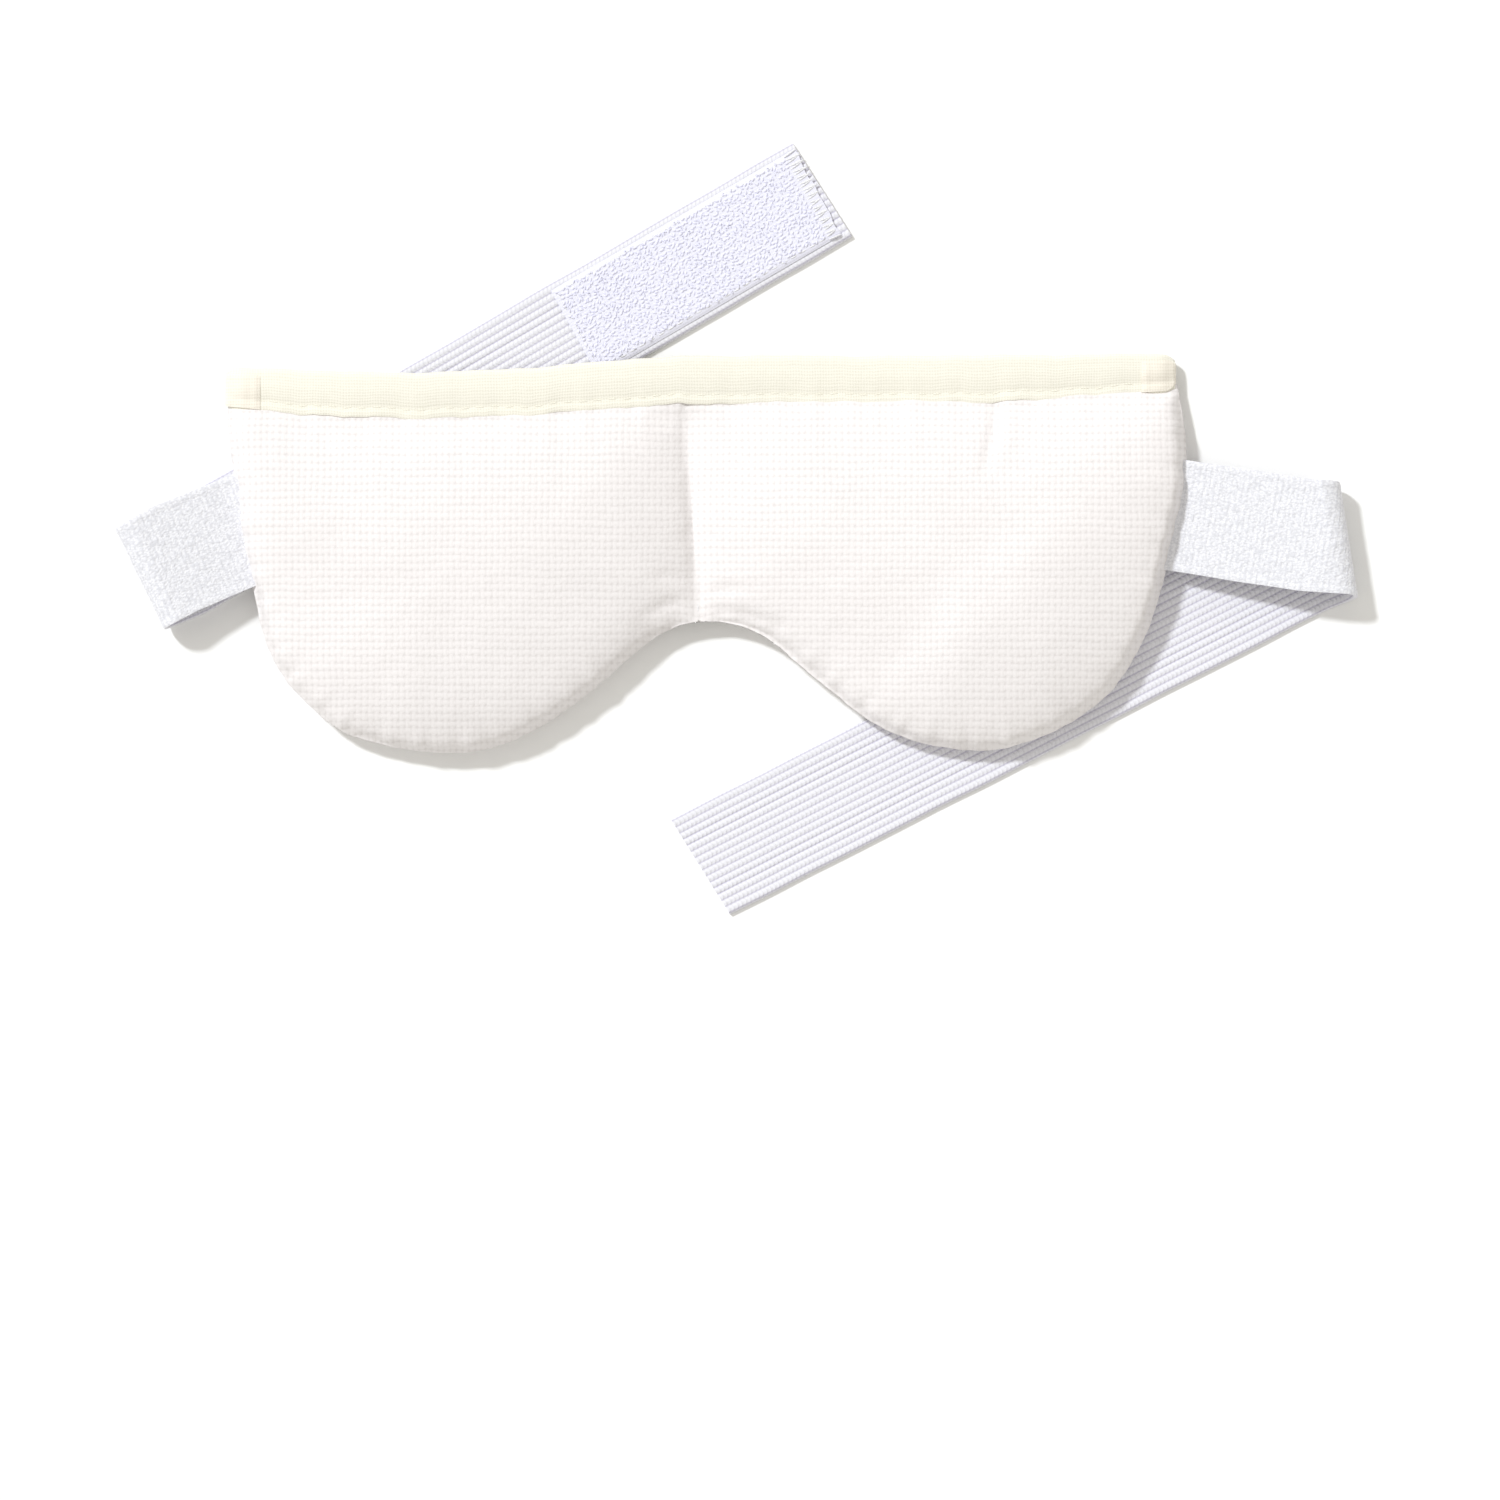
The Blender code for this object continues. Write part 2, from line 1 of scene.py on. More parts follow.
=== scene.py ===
"""Eye pillow: the looks of the two soft lobes, their binding and the two elastic straps.

Places are worked out in millimetres in the pillow's own layout: x from the left strap to the right one, y up
to the bound edge, the nose seam near x = 0. `world` turns them into the frame's metres.
"""
import functools
import json
import math

import bmesh
import bpy
import numpy as np
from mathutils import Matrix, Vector, noise

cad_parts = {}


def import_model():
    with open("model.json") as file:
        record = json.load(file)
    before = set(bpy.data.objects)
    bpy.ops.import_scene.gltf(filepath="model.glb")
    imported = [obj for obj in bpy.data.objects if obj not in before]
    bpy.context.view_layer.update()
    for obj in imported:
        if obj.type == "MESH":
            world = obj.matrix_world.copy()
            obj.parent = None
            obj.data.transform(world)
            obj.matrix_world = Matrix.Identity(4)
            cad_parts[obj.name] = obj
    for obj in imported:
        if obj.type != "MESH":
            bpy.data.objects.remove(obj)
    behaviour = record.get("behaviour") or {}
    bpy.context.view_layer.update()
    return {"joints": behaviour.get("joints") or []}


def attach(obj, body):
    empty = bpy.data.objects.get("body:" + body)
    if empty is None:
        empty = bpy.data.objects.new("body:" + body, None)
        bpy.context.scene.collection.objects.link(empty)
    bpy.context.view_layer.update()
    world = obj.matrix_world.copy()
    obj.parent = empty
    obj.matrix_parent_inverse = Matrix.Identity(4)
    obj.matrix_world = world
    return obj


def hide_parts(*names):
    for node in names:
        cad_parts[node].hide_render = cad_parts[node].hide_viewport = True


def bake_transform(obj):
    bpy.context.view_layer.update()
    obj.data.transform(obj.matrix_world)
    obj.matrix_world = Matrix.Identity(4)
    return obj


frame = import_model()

JOINTS = {joint["name"]: joint for joint in frame["joints"]}
MM = 0.001

# The pillow's layout, as in the CAD model
SEAM_LEVEL = 5.2
NOSE_TOP = (-1.8, 0.0)
NOSE_NOTCH = (2.0, -58.5)
TOP_EDGE = {
    "left": ((-1.8, 0.0), (-14.0, -0.8), (-36.0, -2.6), (-62.0, -3.8), (-86.0, -3.2), (-104.8, -2.7)),
    "right": ((-1.8, 0.0), (14.0, 0.0), (45.0, 0.0), (78.0, 0.2), (109.8, 0.5)),
}
SIDE_AND_BELLY = {
    "left": (
        (-104.8, -9.0), (-103.8, -22.0), (-100.4, -45.0), (-94.2, -68.0), (-81.5, -82.3), (-66.0, -88.2),
        (-50.0, -88.8), (-36.0, -84.6), (-20.4, -73.7), (-8.0, -63.0), (2.0, -58.5),
    ),
    "right": (
        (110.9, -7.0), (112.4, -25.0), (107.9, -47.6), (99.8, -69.2), (88.5, -80.8), (74.0, -87.4),
        (59.0, -88.2), (45.0, -84.3), (30.0, -73.7), (16.0, -62.3), (2.0, -58.5),
    ),
}
LOBE_CENTRE = {"left": (-53.0, -47.0), "right": (57.0, -47.0)}
SIDES = ("left", "right")

# The padded cover
FRONT_CROWN = 10.0
BACK_CROWN = 8.0
HEM_DEPTH = 10.6            # how deep the cover's flat hem reaches beside the nose
HEM_REACH = 0.3             # how far the hem reaches below the binding's lower edge
HEM_TOP = 1.1               # how far the hem's edge stays below the binding's fold
HEM_HALF = 0.9              # half the thickness of the two panels and their seam allowance in the binding
NOSE_HALF = 0.25            # and where they are sewn together along the nose
CURVE_STEPS = 8             # between one given place on an edge and the next
EDGE_STEPS = {"top": 34, "belly": 64, "nose": 20}
CROWN_RINGS = 16            # rings of points from a lobe's edge to its middle
CROWN_POWER = 0.58          # how steeply a lobe rises from its edge: the lower, the steeper
NOSE_CROWN = (0.22, 15.0)   # what its power gains beside the nose seam, and how far that reaches
SIDE_CROWN = (-0.24, 14.0)  # and the same beside the outer sides
CORNER_INSET = (0.7, 1.2)   # how far the outer top corners are drawn in
SAG = 2.5                   # how far those corners hang below the rest
SAG_START = (62.0, -62.0)   # where the sag begins, going out and going up
SAG_SPAN = (48.0, 62.0)     # and over how far it grows to its full depth
FOOT_INSET = 0.9            # from a sewn edge to the foot of the crown
FILM_ROUNDS = 2500          # steps in which the soap film comes to rest
WELD = 0.02                 # points nearer than this to one another are joined
CREASES = (                 # the front's soft furrows and folds: a line, its width and its depth
    (((69.4, -10.6), (68.6, -16.5), (66.4, -25.5)), 1.5, 0.60),
    (((72.3, -11.5), (71.6, -17.5), (70.0, -23.0)), 2.2, -0.30),
    (((-88.0, -14.0), (-84.0, -17.5), (-79.0, -19.5)), 1.5, 0.45),
    (((-80.0, -14.5), (-75.0, -17.0), (-70.0, -17.5)), 1.4, 0.40),
    (((4.5, -56.6), (11.0, -57.6), (20.5, -60.2)), 1.5, 0.50),
    (((3.5, -53.0), (8.0, -52.0), (14.0, -52.5)), 1.5, 0.40),
    (((-1.0, -55.0), (-5.0, -55.5), (-10.0, -58.0)), 1.5, 0.45),
    (((-0.5, -50.0), (-5.0, -49.0), (-9.0, -49.5)), 1.4, 0.30),
    (((-79.0, -85.0), (-77.0, -84.0)), 2.2, -0.35),
)
SWELL_FRAMES = 20           # the length of the simulation
SWELL_CAP = 1.3             # the furthest that the simulation may move the cover

# The binding
BINDING_PLACES = (-104.8, -92.0, -75.0, -40.0, -11.0, 67.0, 90.0, 109.8)
BINDING_DEPTHS = (8.3, 9.3, 9.5, 10.0, 10.2, 10.0, 9.0, 7.9)
BINDING_INNER = 1.05        # from the seam level to the tape's inner face
BINDING_TAPE = 0.7          # the tape's thickness
BINDING_END = 7.7           # the width of its turned-over ends
GAPES = ((-83.0, 12.0, 0.45), (71.0, 11.0, 0.35))  # where its lower edge stands off: x, half width, height
STITCH_ROW = 2.1            # from its lower edge to the row of stitches
STITCH = (2.6, 0.7)         # the length of a stitch in a sewn seam, and the gap after it

# The straps
STRAP_WIDTH = 25.4
STRAP_HALF = STRAP_WIDTH / 2
STRAP_THICKNESS = 1.4
STRAP_LENGTH = 206.5
TAIL_END = 7.0              # how far the strap's sewn end reaches into the lobe
FOLD_CUT = 0.4              # from the fold to the cut between the strap's two pieces
STRAP_BED = 2.0             # how high the cover lies over a strap's run
BED_MARGIN = 10.0           # how far past the strap's edges it stays that high
BED_SLOPE = 4.0             # and over how far it then comes down to the table
RIB_PITCH = 1.63            # between the elastic's cords
STRAPS = {
    "left": {"root": (-101.5, -39.0), "seam": (-98.4, -53.0), "heading": 203.0, "fold_at": 20.9,
             "fold_bearing": 296.0, "radius": 3.9, "drift": (2.2, -1.3), "skew": 0.8},
    "right": {"root": (110.6, -35.4), "seam": (107.4, -50.0), "heading": -9.0, "fold_at": 34.1,
              "fold_bearing": 279.0, "radius": 4.1, "drift": (2.3, 2.3), "skew": 1.1},
}
DRIFT_LEAD = 5.0            # how far before the fold and after it the band shifts sideways
FOLD_POWER = 0.7            # how square the fold's section is: 1 for a round one

# The hook patch
HOOK_LENGTH = 64.9          # from the patch's inner end to the strap's cut end
HOOK_MARGIN = 1.6           # from the strap's edges to the patch
HOOK_END = 1.2              # from the patch to the strap's cut end
HOOK_START = STRAP_LENGTH - HOOK_LENGTH
HOOK_STOP = STRAP_LENGTH - HOOK_END
HOOK_HALF = STRAP_HALF - HOOK_MARGIN
HOOK_PITCH = (0.98, 0.88)   # between hooks, along the strap and across it
HOOK_ROW = 1.1              # from the tape's edge to the stitches round it
STRAP_UNDER = -STRAP_THICKNESS / 2 - 0.05   # the level of the patch's back on the strap
HOOK_FACE = STRAP_UNDER - 0.52              # and of its face, under the hooks

# The light, and the camera straight above the table, in metres
KEY_COLOUR = (0.94, 0.965, 1.0)
KEY_TRAVEL = (0.513, -0.495, -0.701)
KEY_STRENGTH = 2.35
KEY_SIZE = 6.0              # degrees of sky
SURROUND_COLOUR = (1.0, 0.975, 0.92)
SURROUND_STRENGTH = 0.71
TABLE_COLOUR = (0.92, 0.92, 0.915)
TABLE_SIZE = 6.0
VIEW_CENTRE = (0.00306, -0.05017)
VIEW_WIDTH = 0.3402
CAMERA_HEIGHT = 2.0
SENSOR = 36.0               # millimetres

ORIGIN = np.array([
    JOINTS["nose_fold"]["pos_m"][0] / MM - NOSE_NOTCH[0],
    JOINTS["nose_fold"]["pos_m"][1] / MM - NOSE_NOTCH[1],
    0.0,
])


def world(points):
    """Layout millimetres to the frame's metres."""
    return (np.asarray(points, float) + ORIGIN) * MM


# ---------------------------------------------------------------- small helpers


def wave(x, period, seed=0.0):
    """A smooth irregular wave between about -1 and 1, with hills about one period apart."""
    turn = math.tau * np.asarray(x, float) / period
    return (
        0.50 * np.sin(turn + 1.7 * seed)
        + 0.30 * np.sin(turn * 0.61 + 2.9 * seed + 1.3)
        + 0.20 * np.sin(turn * 1.73 + 4.1 * seed + 2.6)
    )


def rough(points, size, seed=0.0):
    """Smooth noise between -1 and 1 with lumps of this size, one value for each point."""
    shift = Vector((seed * 17.3, seed * 9.1, seed * 5.7))
    return np.array([noise.noise(Vector(p) / size + shift) for p in np.asarray(points, float).tolist()])


def smooth_curve(points, steps):
    """A Catmull-Rom curve through the points, with this many steps between neighbours."""
    knots = [np.array(p, float) for p in points]
    knots = [2 * knots[0] - knots[1], *knots, 2 * knots[-1] - knots[-2]]
    curve = []
    for a, b, c, d in zip(knots, knots[1:], knots[2:], knots[3:]):
        for step in range(steps):
            t = step / steps
            bend = (2 * a - 5 * b + 4 * c - d) * t * t
            twist = (3 * b - a - 3 * c + d) * t ** 3
            curve.append(0.5 * (2 * b + (c - a) * t + bend + twist))
    curve.append(knots[-2])
    return np.array(curve)


def resample(curve, count):
    """The same curve with count evenly spaced steps."""
    lengths = np.concatenate([[0], np.cumsum(np.linalg.norm(np.diff(curve, axis=0), axis=1))])
    wanted = np.linspace(0, lengths[-1], count + 1)
    return np.stack([np.interp(wanted, lengths, curve[:, k]) for k in range(curve.shape[1])], axis=1)


def near_line(points, line):
    """For each point, its distance from a polyline and how far along the line the nearest place is."""
    start, step = line[:-1], np.diff(line, axis=0)
    length = np.linalg.norm(step, axis=1)
    before = np.concatenate([[0], np.cumsum(length)[:-1]])
    best = np.full(len(points), 1e9)
    along = np.zeros(len(points))
    for a, d, n, b in zip(start, step, length, before):
        t = np.clip(((points - a) @ d) / (n * n), 0, 1)
        gap = np.linalg.norm(points - a - t[:, None] * d, axis=1)
        nearer = gap < best
        best[nearer] = gap[nearer]
        along[nearer] = b + t[nearer] * n
    return best, along


def sampled(grid, places):
    """The grid's values at places counted in its own steps, blended between its points."""
    i, j = places.astype(int).T
    parts = (places - np.stack([i, j], axis=-1)).T
    u, v = parts.reshape(2, -1, *[1] * (grid.ndim - 2))
    near = grid[i, j] * (1 - u) + grid[i + 1, j] * u
    beyond = grid[i, j + 1] * (1 - u) + grid[i + 1, j + 1] * u
    return near * (1 - v) + beyond * v


def heading(degrees):
    """The unit vector of a bearing, counted from +x towards +y."""
    return np.array([math.cos(math.radians(degrees)), math.sin(math.radians(degrees))])


def add_object(name, data):
    """A new object in the scene."""
    made = bpy.data.objects.new(name, data)
    bpy.context.scene.collection.objects.link(made)
    return made


def add_mesh(name, points, faces, looks, sharp=50):
    """A new mesh piece from layout millimetres."""
    mesh = bpy.data.meshes.new(name)
    mesh.from_pydata(world(points).tolist(), [], faces)
    mesh.shade_smooth()
    mesh.set_sharp_from_angle(angle=math.radians(sharp))
    for look in looks:
        mesh.materials.append(look)
    return add_object(name, mesh)


def vectors(mesh, name):
    """One stored vector for each point of a mesh."""
    found = np.zeros(len(mesh.vertices) * 3, np.float32)
    mesh.vertices.foreach_get(name, found)
    return found.reshape(-1, 3).astype(float)


def layout_points(mesh):
    """Where a mesh's points are, in layout millimetres."""
    return vectors(mesh, "co") / MM - ORIGIN


def move_points(mesh, points):
    """Moves a mesh's points to these places in layout millimetres."""
    mesh.vertices.foreach_set("co", world(points).astype(np.float32).ravel())


def set_attribute(piece, name, values):
    """Stores one vector for each vertex, for the materials to read."""
    kept = piece.data.attributes.new(name, "FLOAT_VECTOR", "POINT")
    kept.data.foreach_set("vector", np.asarray(values, np.float32).ravel())


def shell(name, outer, inner, pattern, looks, sharp=50):
    """A closed thin body between two matching grids of points, joined round all four edges.

    The outer face takes the first look and the inner face and the rims the last. pattern holds, for each
    place on the grid, the two distances that the woven or knitted pattern follows.
    """
    rows, columns = outer.shape[:2]
    size = rows * columns
    points = np.concatenate([outer.reshape(-1, 3), inner.reshape(-1, 3)])
    i, j = np.meshgrid(np.arange(rows - 1), np.arange(columns - 1), indexing="ij")
    a = (i * columns + j).ravel()
    quads = np.stack([a, a + 1, a + columns + 1, a + columns], axis=1)
    rim = []
    for line in (
        np.arange(columns), (rows - 1) * columns + np.arange(columns)[::-1],
        np.arange(rows)[::-1] * columns, np.arange(rows) * columns + columns - 1,
    ):
        rim.append(np.stack([line[1:], line[:-1], line[:-1] + size, line[1:] + size], axis=1))
    rim = np.concatenate(rim)
    faces = np.concatenate([quads, quads[:, ::-1] + size, rim])
    piece = add_mesh(name, points, faces.tolist(), looks, sharp)
    flat = np.concatenate([pattern.reshape(-1, pattern.shape[-1])] * 2)
    set_attribute(piece, "pattern", np.pad(flat, ((0, 0), (0, 3 - flat.shape[1]))))
    index = np.zeros(len(faces), np.int32)
    index[len(quads):] = len(looks) - 1
    piece.data.polygons.foreach_set("material_index", index)
    return piece


def tubes(name, lines, radius, look, up=(0, 0, 1)):
    """Many short round threads as one piece. lines is threads x points x 3, radius a value for each point."""
    sides = 6
    lines = np.asarray(lines, float)
    count, length = lines.shape[:2]
    radius = np.broadcast_to(np.asarray(radius, float), (length,))
    tangent = np.gradient(lines, axis=1)
    tangent /= np.linalg.norm(tangent, axis=2, keepdims=True)
    side = np.cross(tangent, np.array(up, float))
    side /= np.maximum(np.linalg.norm(side, axis=2, keepdims=True), 1e-9)
    lift = np.cross(side, tangent)
    turn = math.tau * np.arange(sides) / sides
    ring = np.cos(turn)[:, None] * side[:, :, None] + np.sin(turn)[:, None] * lift[:, :, None]
    points = lines[:, :, None] + radius[None, :, None, None] * ring
    base = (np.arange(count) * length * sides)[:, None, None]
    i = (np.arange(length - 1) * sides)[None, :, None]
    k = np.arange(sides)[None, None, :]
    a, b = base + i + k, base + i + (k + 1) % sides
    quads = np.stack([a, b, b + sides, a + sides], axis=-1).reshape(-1, 4).tolist()
    first = base[:, 0, 0]
    caps = [[int(f) + s for s in reversed(range(sides))] for f in first]
    caps += [[int(f) + (length - 1) * sides + s for s in range(sides)] for f in first]
    piece = add_mesh(name, points.reshape(-1, 3), quads + caps, [look])
    along = np.broadcast_to(np.linspace(0, 1, length)[None, :, None], (count, length, sides))
    around = np.broadcast_to(np.arange(sides) / sides, (count, length, sides))
    which = np.broadcast_to(np.arange(count)[:, None, None] * 0.37, (count, length, sides))
    set_attribute(piece, "pattern", np.stack([along, around, which], axis=-1).reshape(-1, 3))
    return piece


def add_stitches(name, lines, radius, look, nodes):
    """Rows of stitches as one piece, which stands for these nodes of the CAD model."""
    row = tubes(name, lines, radius, look)
    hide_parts(*nodes)
    return row


def stitch_lines(path, length, gap, rise, sink):
    """The middle lines of stitches along a path. Each comes up, lies along the cloth and goes down."""
    total = np.linalg.norm(np.diff(path, axis=0), axis=1).sum()
    count = max(1, int(total / (length + gap)))
    fineness = 24
    fine = resample(path, count * fineness)
    span = total / count
    share = length / span
    profile = np.array([-sink, 0.2 * rise, 0.8 * rise, rise, 0.8 * rise, 0.2 * rise, -sink])
    lines = []
    for k in range(count):
        places = (k + 0.5 + share * np.linspace(-0.5, 0.5, len(profile))) * fineness
        line = np.stack([np.interp(places, np.arange(len(fine)), fine[:, c]) for c in range(3)], axis=1)
        line[:, 2] += profile
        lines.append(line)
    return lines


# ---------------------------------------------------------------- materials


class Value:
    """A number in a material's node tree. Arithmetic with it adds the nodes that work it out."""

    def __init__(self, graph, socket):
        self.graph = graph
        self.socket = socket

    def __add__(self, other):
        return self.graph.math("ADD", self, other)

    def __sub__(self, other):
        return self.graph.math("SUBTRACT", self, other)

    def __rsub__(self, other):
        return self.graph.math("SUBTRACT", other, self)

    def __mul__(self, other):
        return self.graph.math("MULTIPLY", self, other)

    def __truediv__(self, other):
        return self.graph.math("DIVIDE", self, other)

    def __abs__(self):
        return self.graph.math("ABSOLUTE", self)

    def larger(self, other):
        """The larger of the two."""
        return self.graph.math("MAXIMUM", self, other)

    def swing(self):
        """The cosine of this number of half turns."""
        return self.graph.math("COSINE", self * math.pi)

    def step(self, low, high):
        """0 below low, 1 above high, and a smooth step between."""
        inputs = {"Value": self, "From Min": low, "From Max": high}
        return self.graph.node("ShaderNodeMapRange", "Result", inputs, interpolation_type="SMOOTHSTEP")


class Graph:
    """A material's node tree, with short calls for the nodes that the cloth patterns need."""

    def __init__(self, name, roughness, sheen=0.0):
        self.material = bpy.data.materials.new(name)
        self.material.use_nodes = True
        self.tree = self.material.node_tree
        self.shader = self.tree.nodes["Principled BSDF"]
        self.shader.inputs["Roughness"].default_value = roughness
        self.shader.inputs["Specular IOR Level"].default_value = 0.25
        self.shader.inputs["Sheen Weight"].default_value = sheen

    def node(self, kind, output, inputs, **settings):
        """Adds a node with these inputs and settings, and returns one of its outputs."""
        made = self.tree.nodes.new(kind)
        for key, value in settings.items():
            setattr(made, key, value)
        for key, value in inputs.items():
            if isinstance(value, Value):
                self.tree.links.new(value.socket, made.inputs[key])
            else:
                made.inputs[key].default_value = value
        return Value(self, made.outputs[output])

    def math(self, operation, a, b=0.0):
        """One step of arithmetic."""
        return self.node("ShaderNodeMath", 0, {0: a, 1: b}, operation=operation)

    def pattern(self):
        """The piece's stored pattern as a vector, then its three numbers: two distances and an extra one."""
        vector = self.node("ShaderNodeAttribute", "Vector", {}, attribute_name="pattern")
        parts = self.node("ShaderNodeSeparateXYZ", 0, {0: vector}).socket.node.outputs
        return vector, *(Value(self, part) for part in parts)

    def scaled(self, vector, scale):
        """A vector or a colour multiplied by another, part by part."""
        return self.node("ShaderNodeVectorMath", 0, {0: vector, 1: scale}, operation="MULTIPLY")

    def noise(self, vector, scale, detail=2.0):
        """Smooth noise with the vector stretched by a scale for each of its directions, or one for all."""
        scale = scale if isinstance(scale, tuple) else (scale, scale, scale)
        inputs = {"Vector": self.scaled(vector, scale), "Scale": 1.0, "Detail": detail}
        return self.node("ShaderNodeTexNoise", "Fac", inputs)

    def cells(self, vector, scale):
        """Each place's distance from the middle of its cell."""
        inputs = {"Vector": self.scaled(vector, scale), "Scale": 1.0}
        return self.node("ShaderNodeTexVoronoi", "Distance", inputs)

    def mix(self, share, low, high):
        """One colour where share is 0 and another where it is 1."""
        return self.node("ShaderNodeMix", 2, {0: share, 6: (*low, 1.0), 7: (*high, 1.0)}, data_type="RGBA")

    def tint(self, colour, share, amount):
        """Darkens a colour by up to amount where share is low."""
        value = share * amount + (1.0 - amount)
        grey = self.node("ShaderNodeCombineXYZ", 0, {0: value, 1: value, 2: value})
        return self.scaled(colour, grey)

    def finish(self, colour, height, depth):
        """Sends the colour and a relief of this depth in millimetres to the shader."""
        self.tree.links.new(colour.socket, self.shader.inputs["Base Color"])
        normal = self.node("ShaderNodeBump", 0, {"Height": height, "Distance": depth * MM, "Strength": 1.0})
        self.tree.links.new(normal.socket, self.shader.inputs["Normal"])
        return self.material


def weave(u, v, weft_weight):
    """A plain weave of unit pitch: its height, where each thread goes over one crossing and under the next,
    and how far each place is from the lines between its threads."""
    across, down = u.swing(), v.swing()
    crossing = across * down * 0.35
    warp, weft = abs(across), abs(down)
    between = warp * 0.45 + weft * 0.55
    return (warp + crossing).larger(weft * weft_weight - crossing), between


def woven(name, pitch, light, dark, depth, weft_weight=1.1, hole=(0.1, 0.8)):
    """A woven cloth with thread pitches in millimetres, its lit colour and the colour of painted shade in its
    open holes and between its threads.
    """
    graph = Graph(name, 0.9, sheen=0.15)
    vector, x, y, _ = graph.pattern()
    drift = graph.noise(vector, 0.09)
    slub = graph.noise(vector, (0.05, 0.7, 0.3))
    slub_up = graph.noise(vector, (0.8, 0.06, 0.3))
    shift = drift - 0.5
    height, between = weave((x + shift) / pitch[0], (y - shift) / pitch[1], weft_weight)
    height = height + (slub - 0.5) * 0.35 + (slub_up - 0.5) * 0.25
    fuzz = graph.noise(vector, 4.0, 3.0)
    uneven = graph.noise(vector, 0.9)
    # painted shade: the holes and the gaps between the threads take the dark colour
    painted_gap_shade = between + (uneven - 0.5) * 0.7 + (fuzz - 0.5) * 0.5
    colour = graph.mix(painted_gap_shade.step(*hole), dark, light)
    colour = graph.tint(colour, slub.step(0.25, 0.75), 0.02)
    mottle = graph.noise(vector, 0.03)
    colour = graph.tint(colour, mottle.step(0.3, 0.7), 0.015)
    return graph.finish(colour, height + fuzz * 0.45, depth)


def ribbed(name, light, dark):
    """The elastic's ribbed side: lengthwise cords crossed by fine knitted stitches, with painted shade in the
    grooves between the cords and between the stitches.
    """
    graph = Graph(name, 0.85, sheen=0.1)
    vector, along, across, _ = graph.pattern()
    rib = abs((across / RIB_PITCH).swing())
    stitch = abs((along / 1.05 + rib * 0.35).swing())
    fuzz = graph.noise(vector, (3.0, 6.0, 3.0), 3.0)
    # painted shade: the grooves between the cords take the dark colour, which is tinted violet
    colour = graph.mix(rib.step(0.05, 0.6), dark, light)
    colour = graph.tint(colour, fuzz.step(0.3, 0.7), 0.05)
    # painted shade between the knitted stitches
    colour = graph.tint(colour, stitch.step(0.0, 0.55), 0.07)
    return graph.finish(colour, stitch * 0.7 + fuzz * 0.6, 0.13)


def looped(name, light, dark):
    """The elastic's soft loop side, which the hooks catch, with painted shade in the hollows between its
    loops.
    """
    graph = Graph(name, 0.95, sheen=0.25)
    vector, along, _, nub = graph.pattern()
    nubs = 1.0 - graph.cells(vector, (1.5, 1.9, 0.0))
    curl = graph.noise(vector, (2.4, 2.4, 0.0), 4.0)
    course = abs((along / 1.25).swing())
    relief = nubs * 0.8 + curl + course * 0.25
    # painted shade: the low places of the relief take the dark colour
    colour = graph.mix(relief.step(0.75, 1.35), dark, light)
    colour = graph.tint(colour, nub.step(-0.16, -0.03), 0.03)
    return graph.finish(colour, relief, 0.15)


def nylon(name, light, dark):
    """Fine uneven nylon: its lit colour, and painted shade in the hollows of its grain."""
    graph = Graph(name, 0.5, sheen=0.1)
    vector, *_ = graph.pattern()
    grain = graph.noise(vector, 2.0, 3.0)
    # painted shade: the hollows of the grain take the dark colour
    colour = graph.mix(grain.step(0.3, 0.65), dark, light)
    return graph.finish(colour, grain, 0.03)


def spun(name, light, dark):
    """Twisted sewing thread: fine plies that wind round it, with painted shade in the grooves between them.
    """
    graph = Graph(name, 0.7, sheen=0.1)
    _, along, around, _ = graph.pattern()
    ply = abs((along * 4.0 + around * 2.0).swing())
    # painted shade: the grooves between the plies take the dark colour
    return graph.finish(graph.mix(ply.step(0.1, 0.6), dark, light), ply, 0.05)


def seeds(name):
    """Flax seed seen as a mass: glossy brown grains with painted shade in the gaps between them."""
    graph = Graph(name, 0.45)
    vector, *_ = graph.pattern()
    cell = graph.cells(vector, (0.25, 0.45, 0.3))
    shade = graph.noise(vector, 0.4)
    # painted shade: the edges of each grain's cell take the near-black colour
    colour = graph.mix(cell.step(0.15, 0.6), (0.33, 0.17, 0.07), (0.06, 0.03, 0.015))
    return graph.finish(graph.tint(colour, shade, 0.4), 1.0 - cell, 0.8)


# Each material's second colour is painted shade: in the holes of a weave, the grooves of the ribs and
# threads, the hollows of the loops and of the nylon.
COVER = woven(
    "cover_weave", (1.41, 1.62), (0.848, 0.818, 0.817), (0.740, 0.709, 0.703), 0.055,
    weft_weight=1.2, hole=(0.05, 0.80),
)
TAPE = woven("binding_weave", (0.62, 0.72), (0.860, 0.836, 0.742), (0.79, 0.765, 0.66), 0.05)
TAPE_END = woven("binding_end_weave", (0.62, 0.72), (0.862, 0.814, 0.722), (0.79, 0.74, 0.64), 0.05)
RIBS = ribbed("elastic_ribs", (0.812, 0.811, 0.862), (0.60, 0.585, 0.685))
LOOPS = looped("elastic_loops", (0.845, 0.848, 0.885), (0.70, 0.705, 0.75))
HOOK_TAPE = woven("hook_tape_weave", (0.5, 0.7), (0.80, 0.80, 0.90), (0.74, 0.74, 0.84), 0.04)
HOOKS = nylon("hook_nylon", (0.815, 0.815, 0.945), (0.765, 0.765, 0.89))
THREAD = spun("white_thread", (0.84, 0.84, 0.86), (0.70, 0.70, 0.72))
CREAM_THREAD = spun("cream_thread", (0.87, 0.845, 0.75), (0.76, 0.73, 0.63))
LINER = woven("liner_weave", (0.5, 0.5), (0.75, 0.72, 0.65), (0.55, 0.52, 0.46), 0.05)
SEEDS = seeds("flax_seed")


# ---------------------------------------------------------------- the padded cover


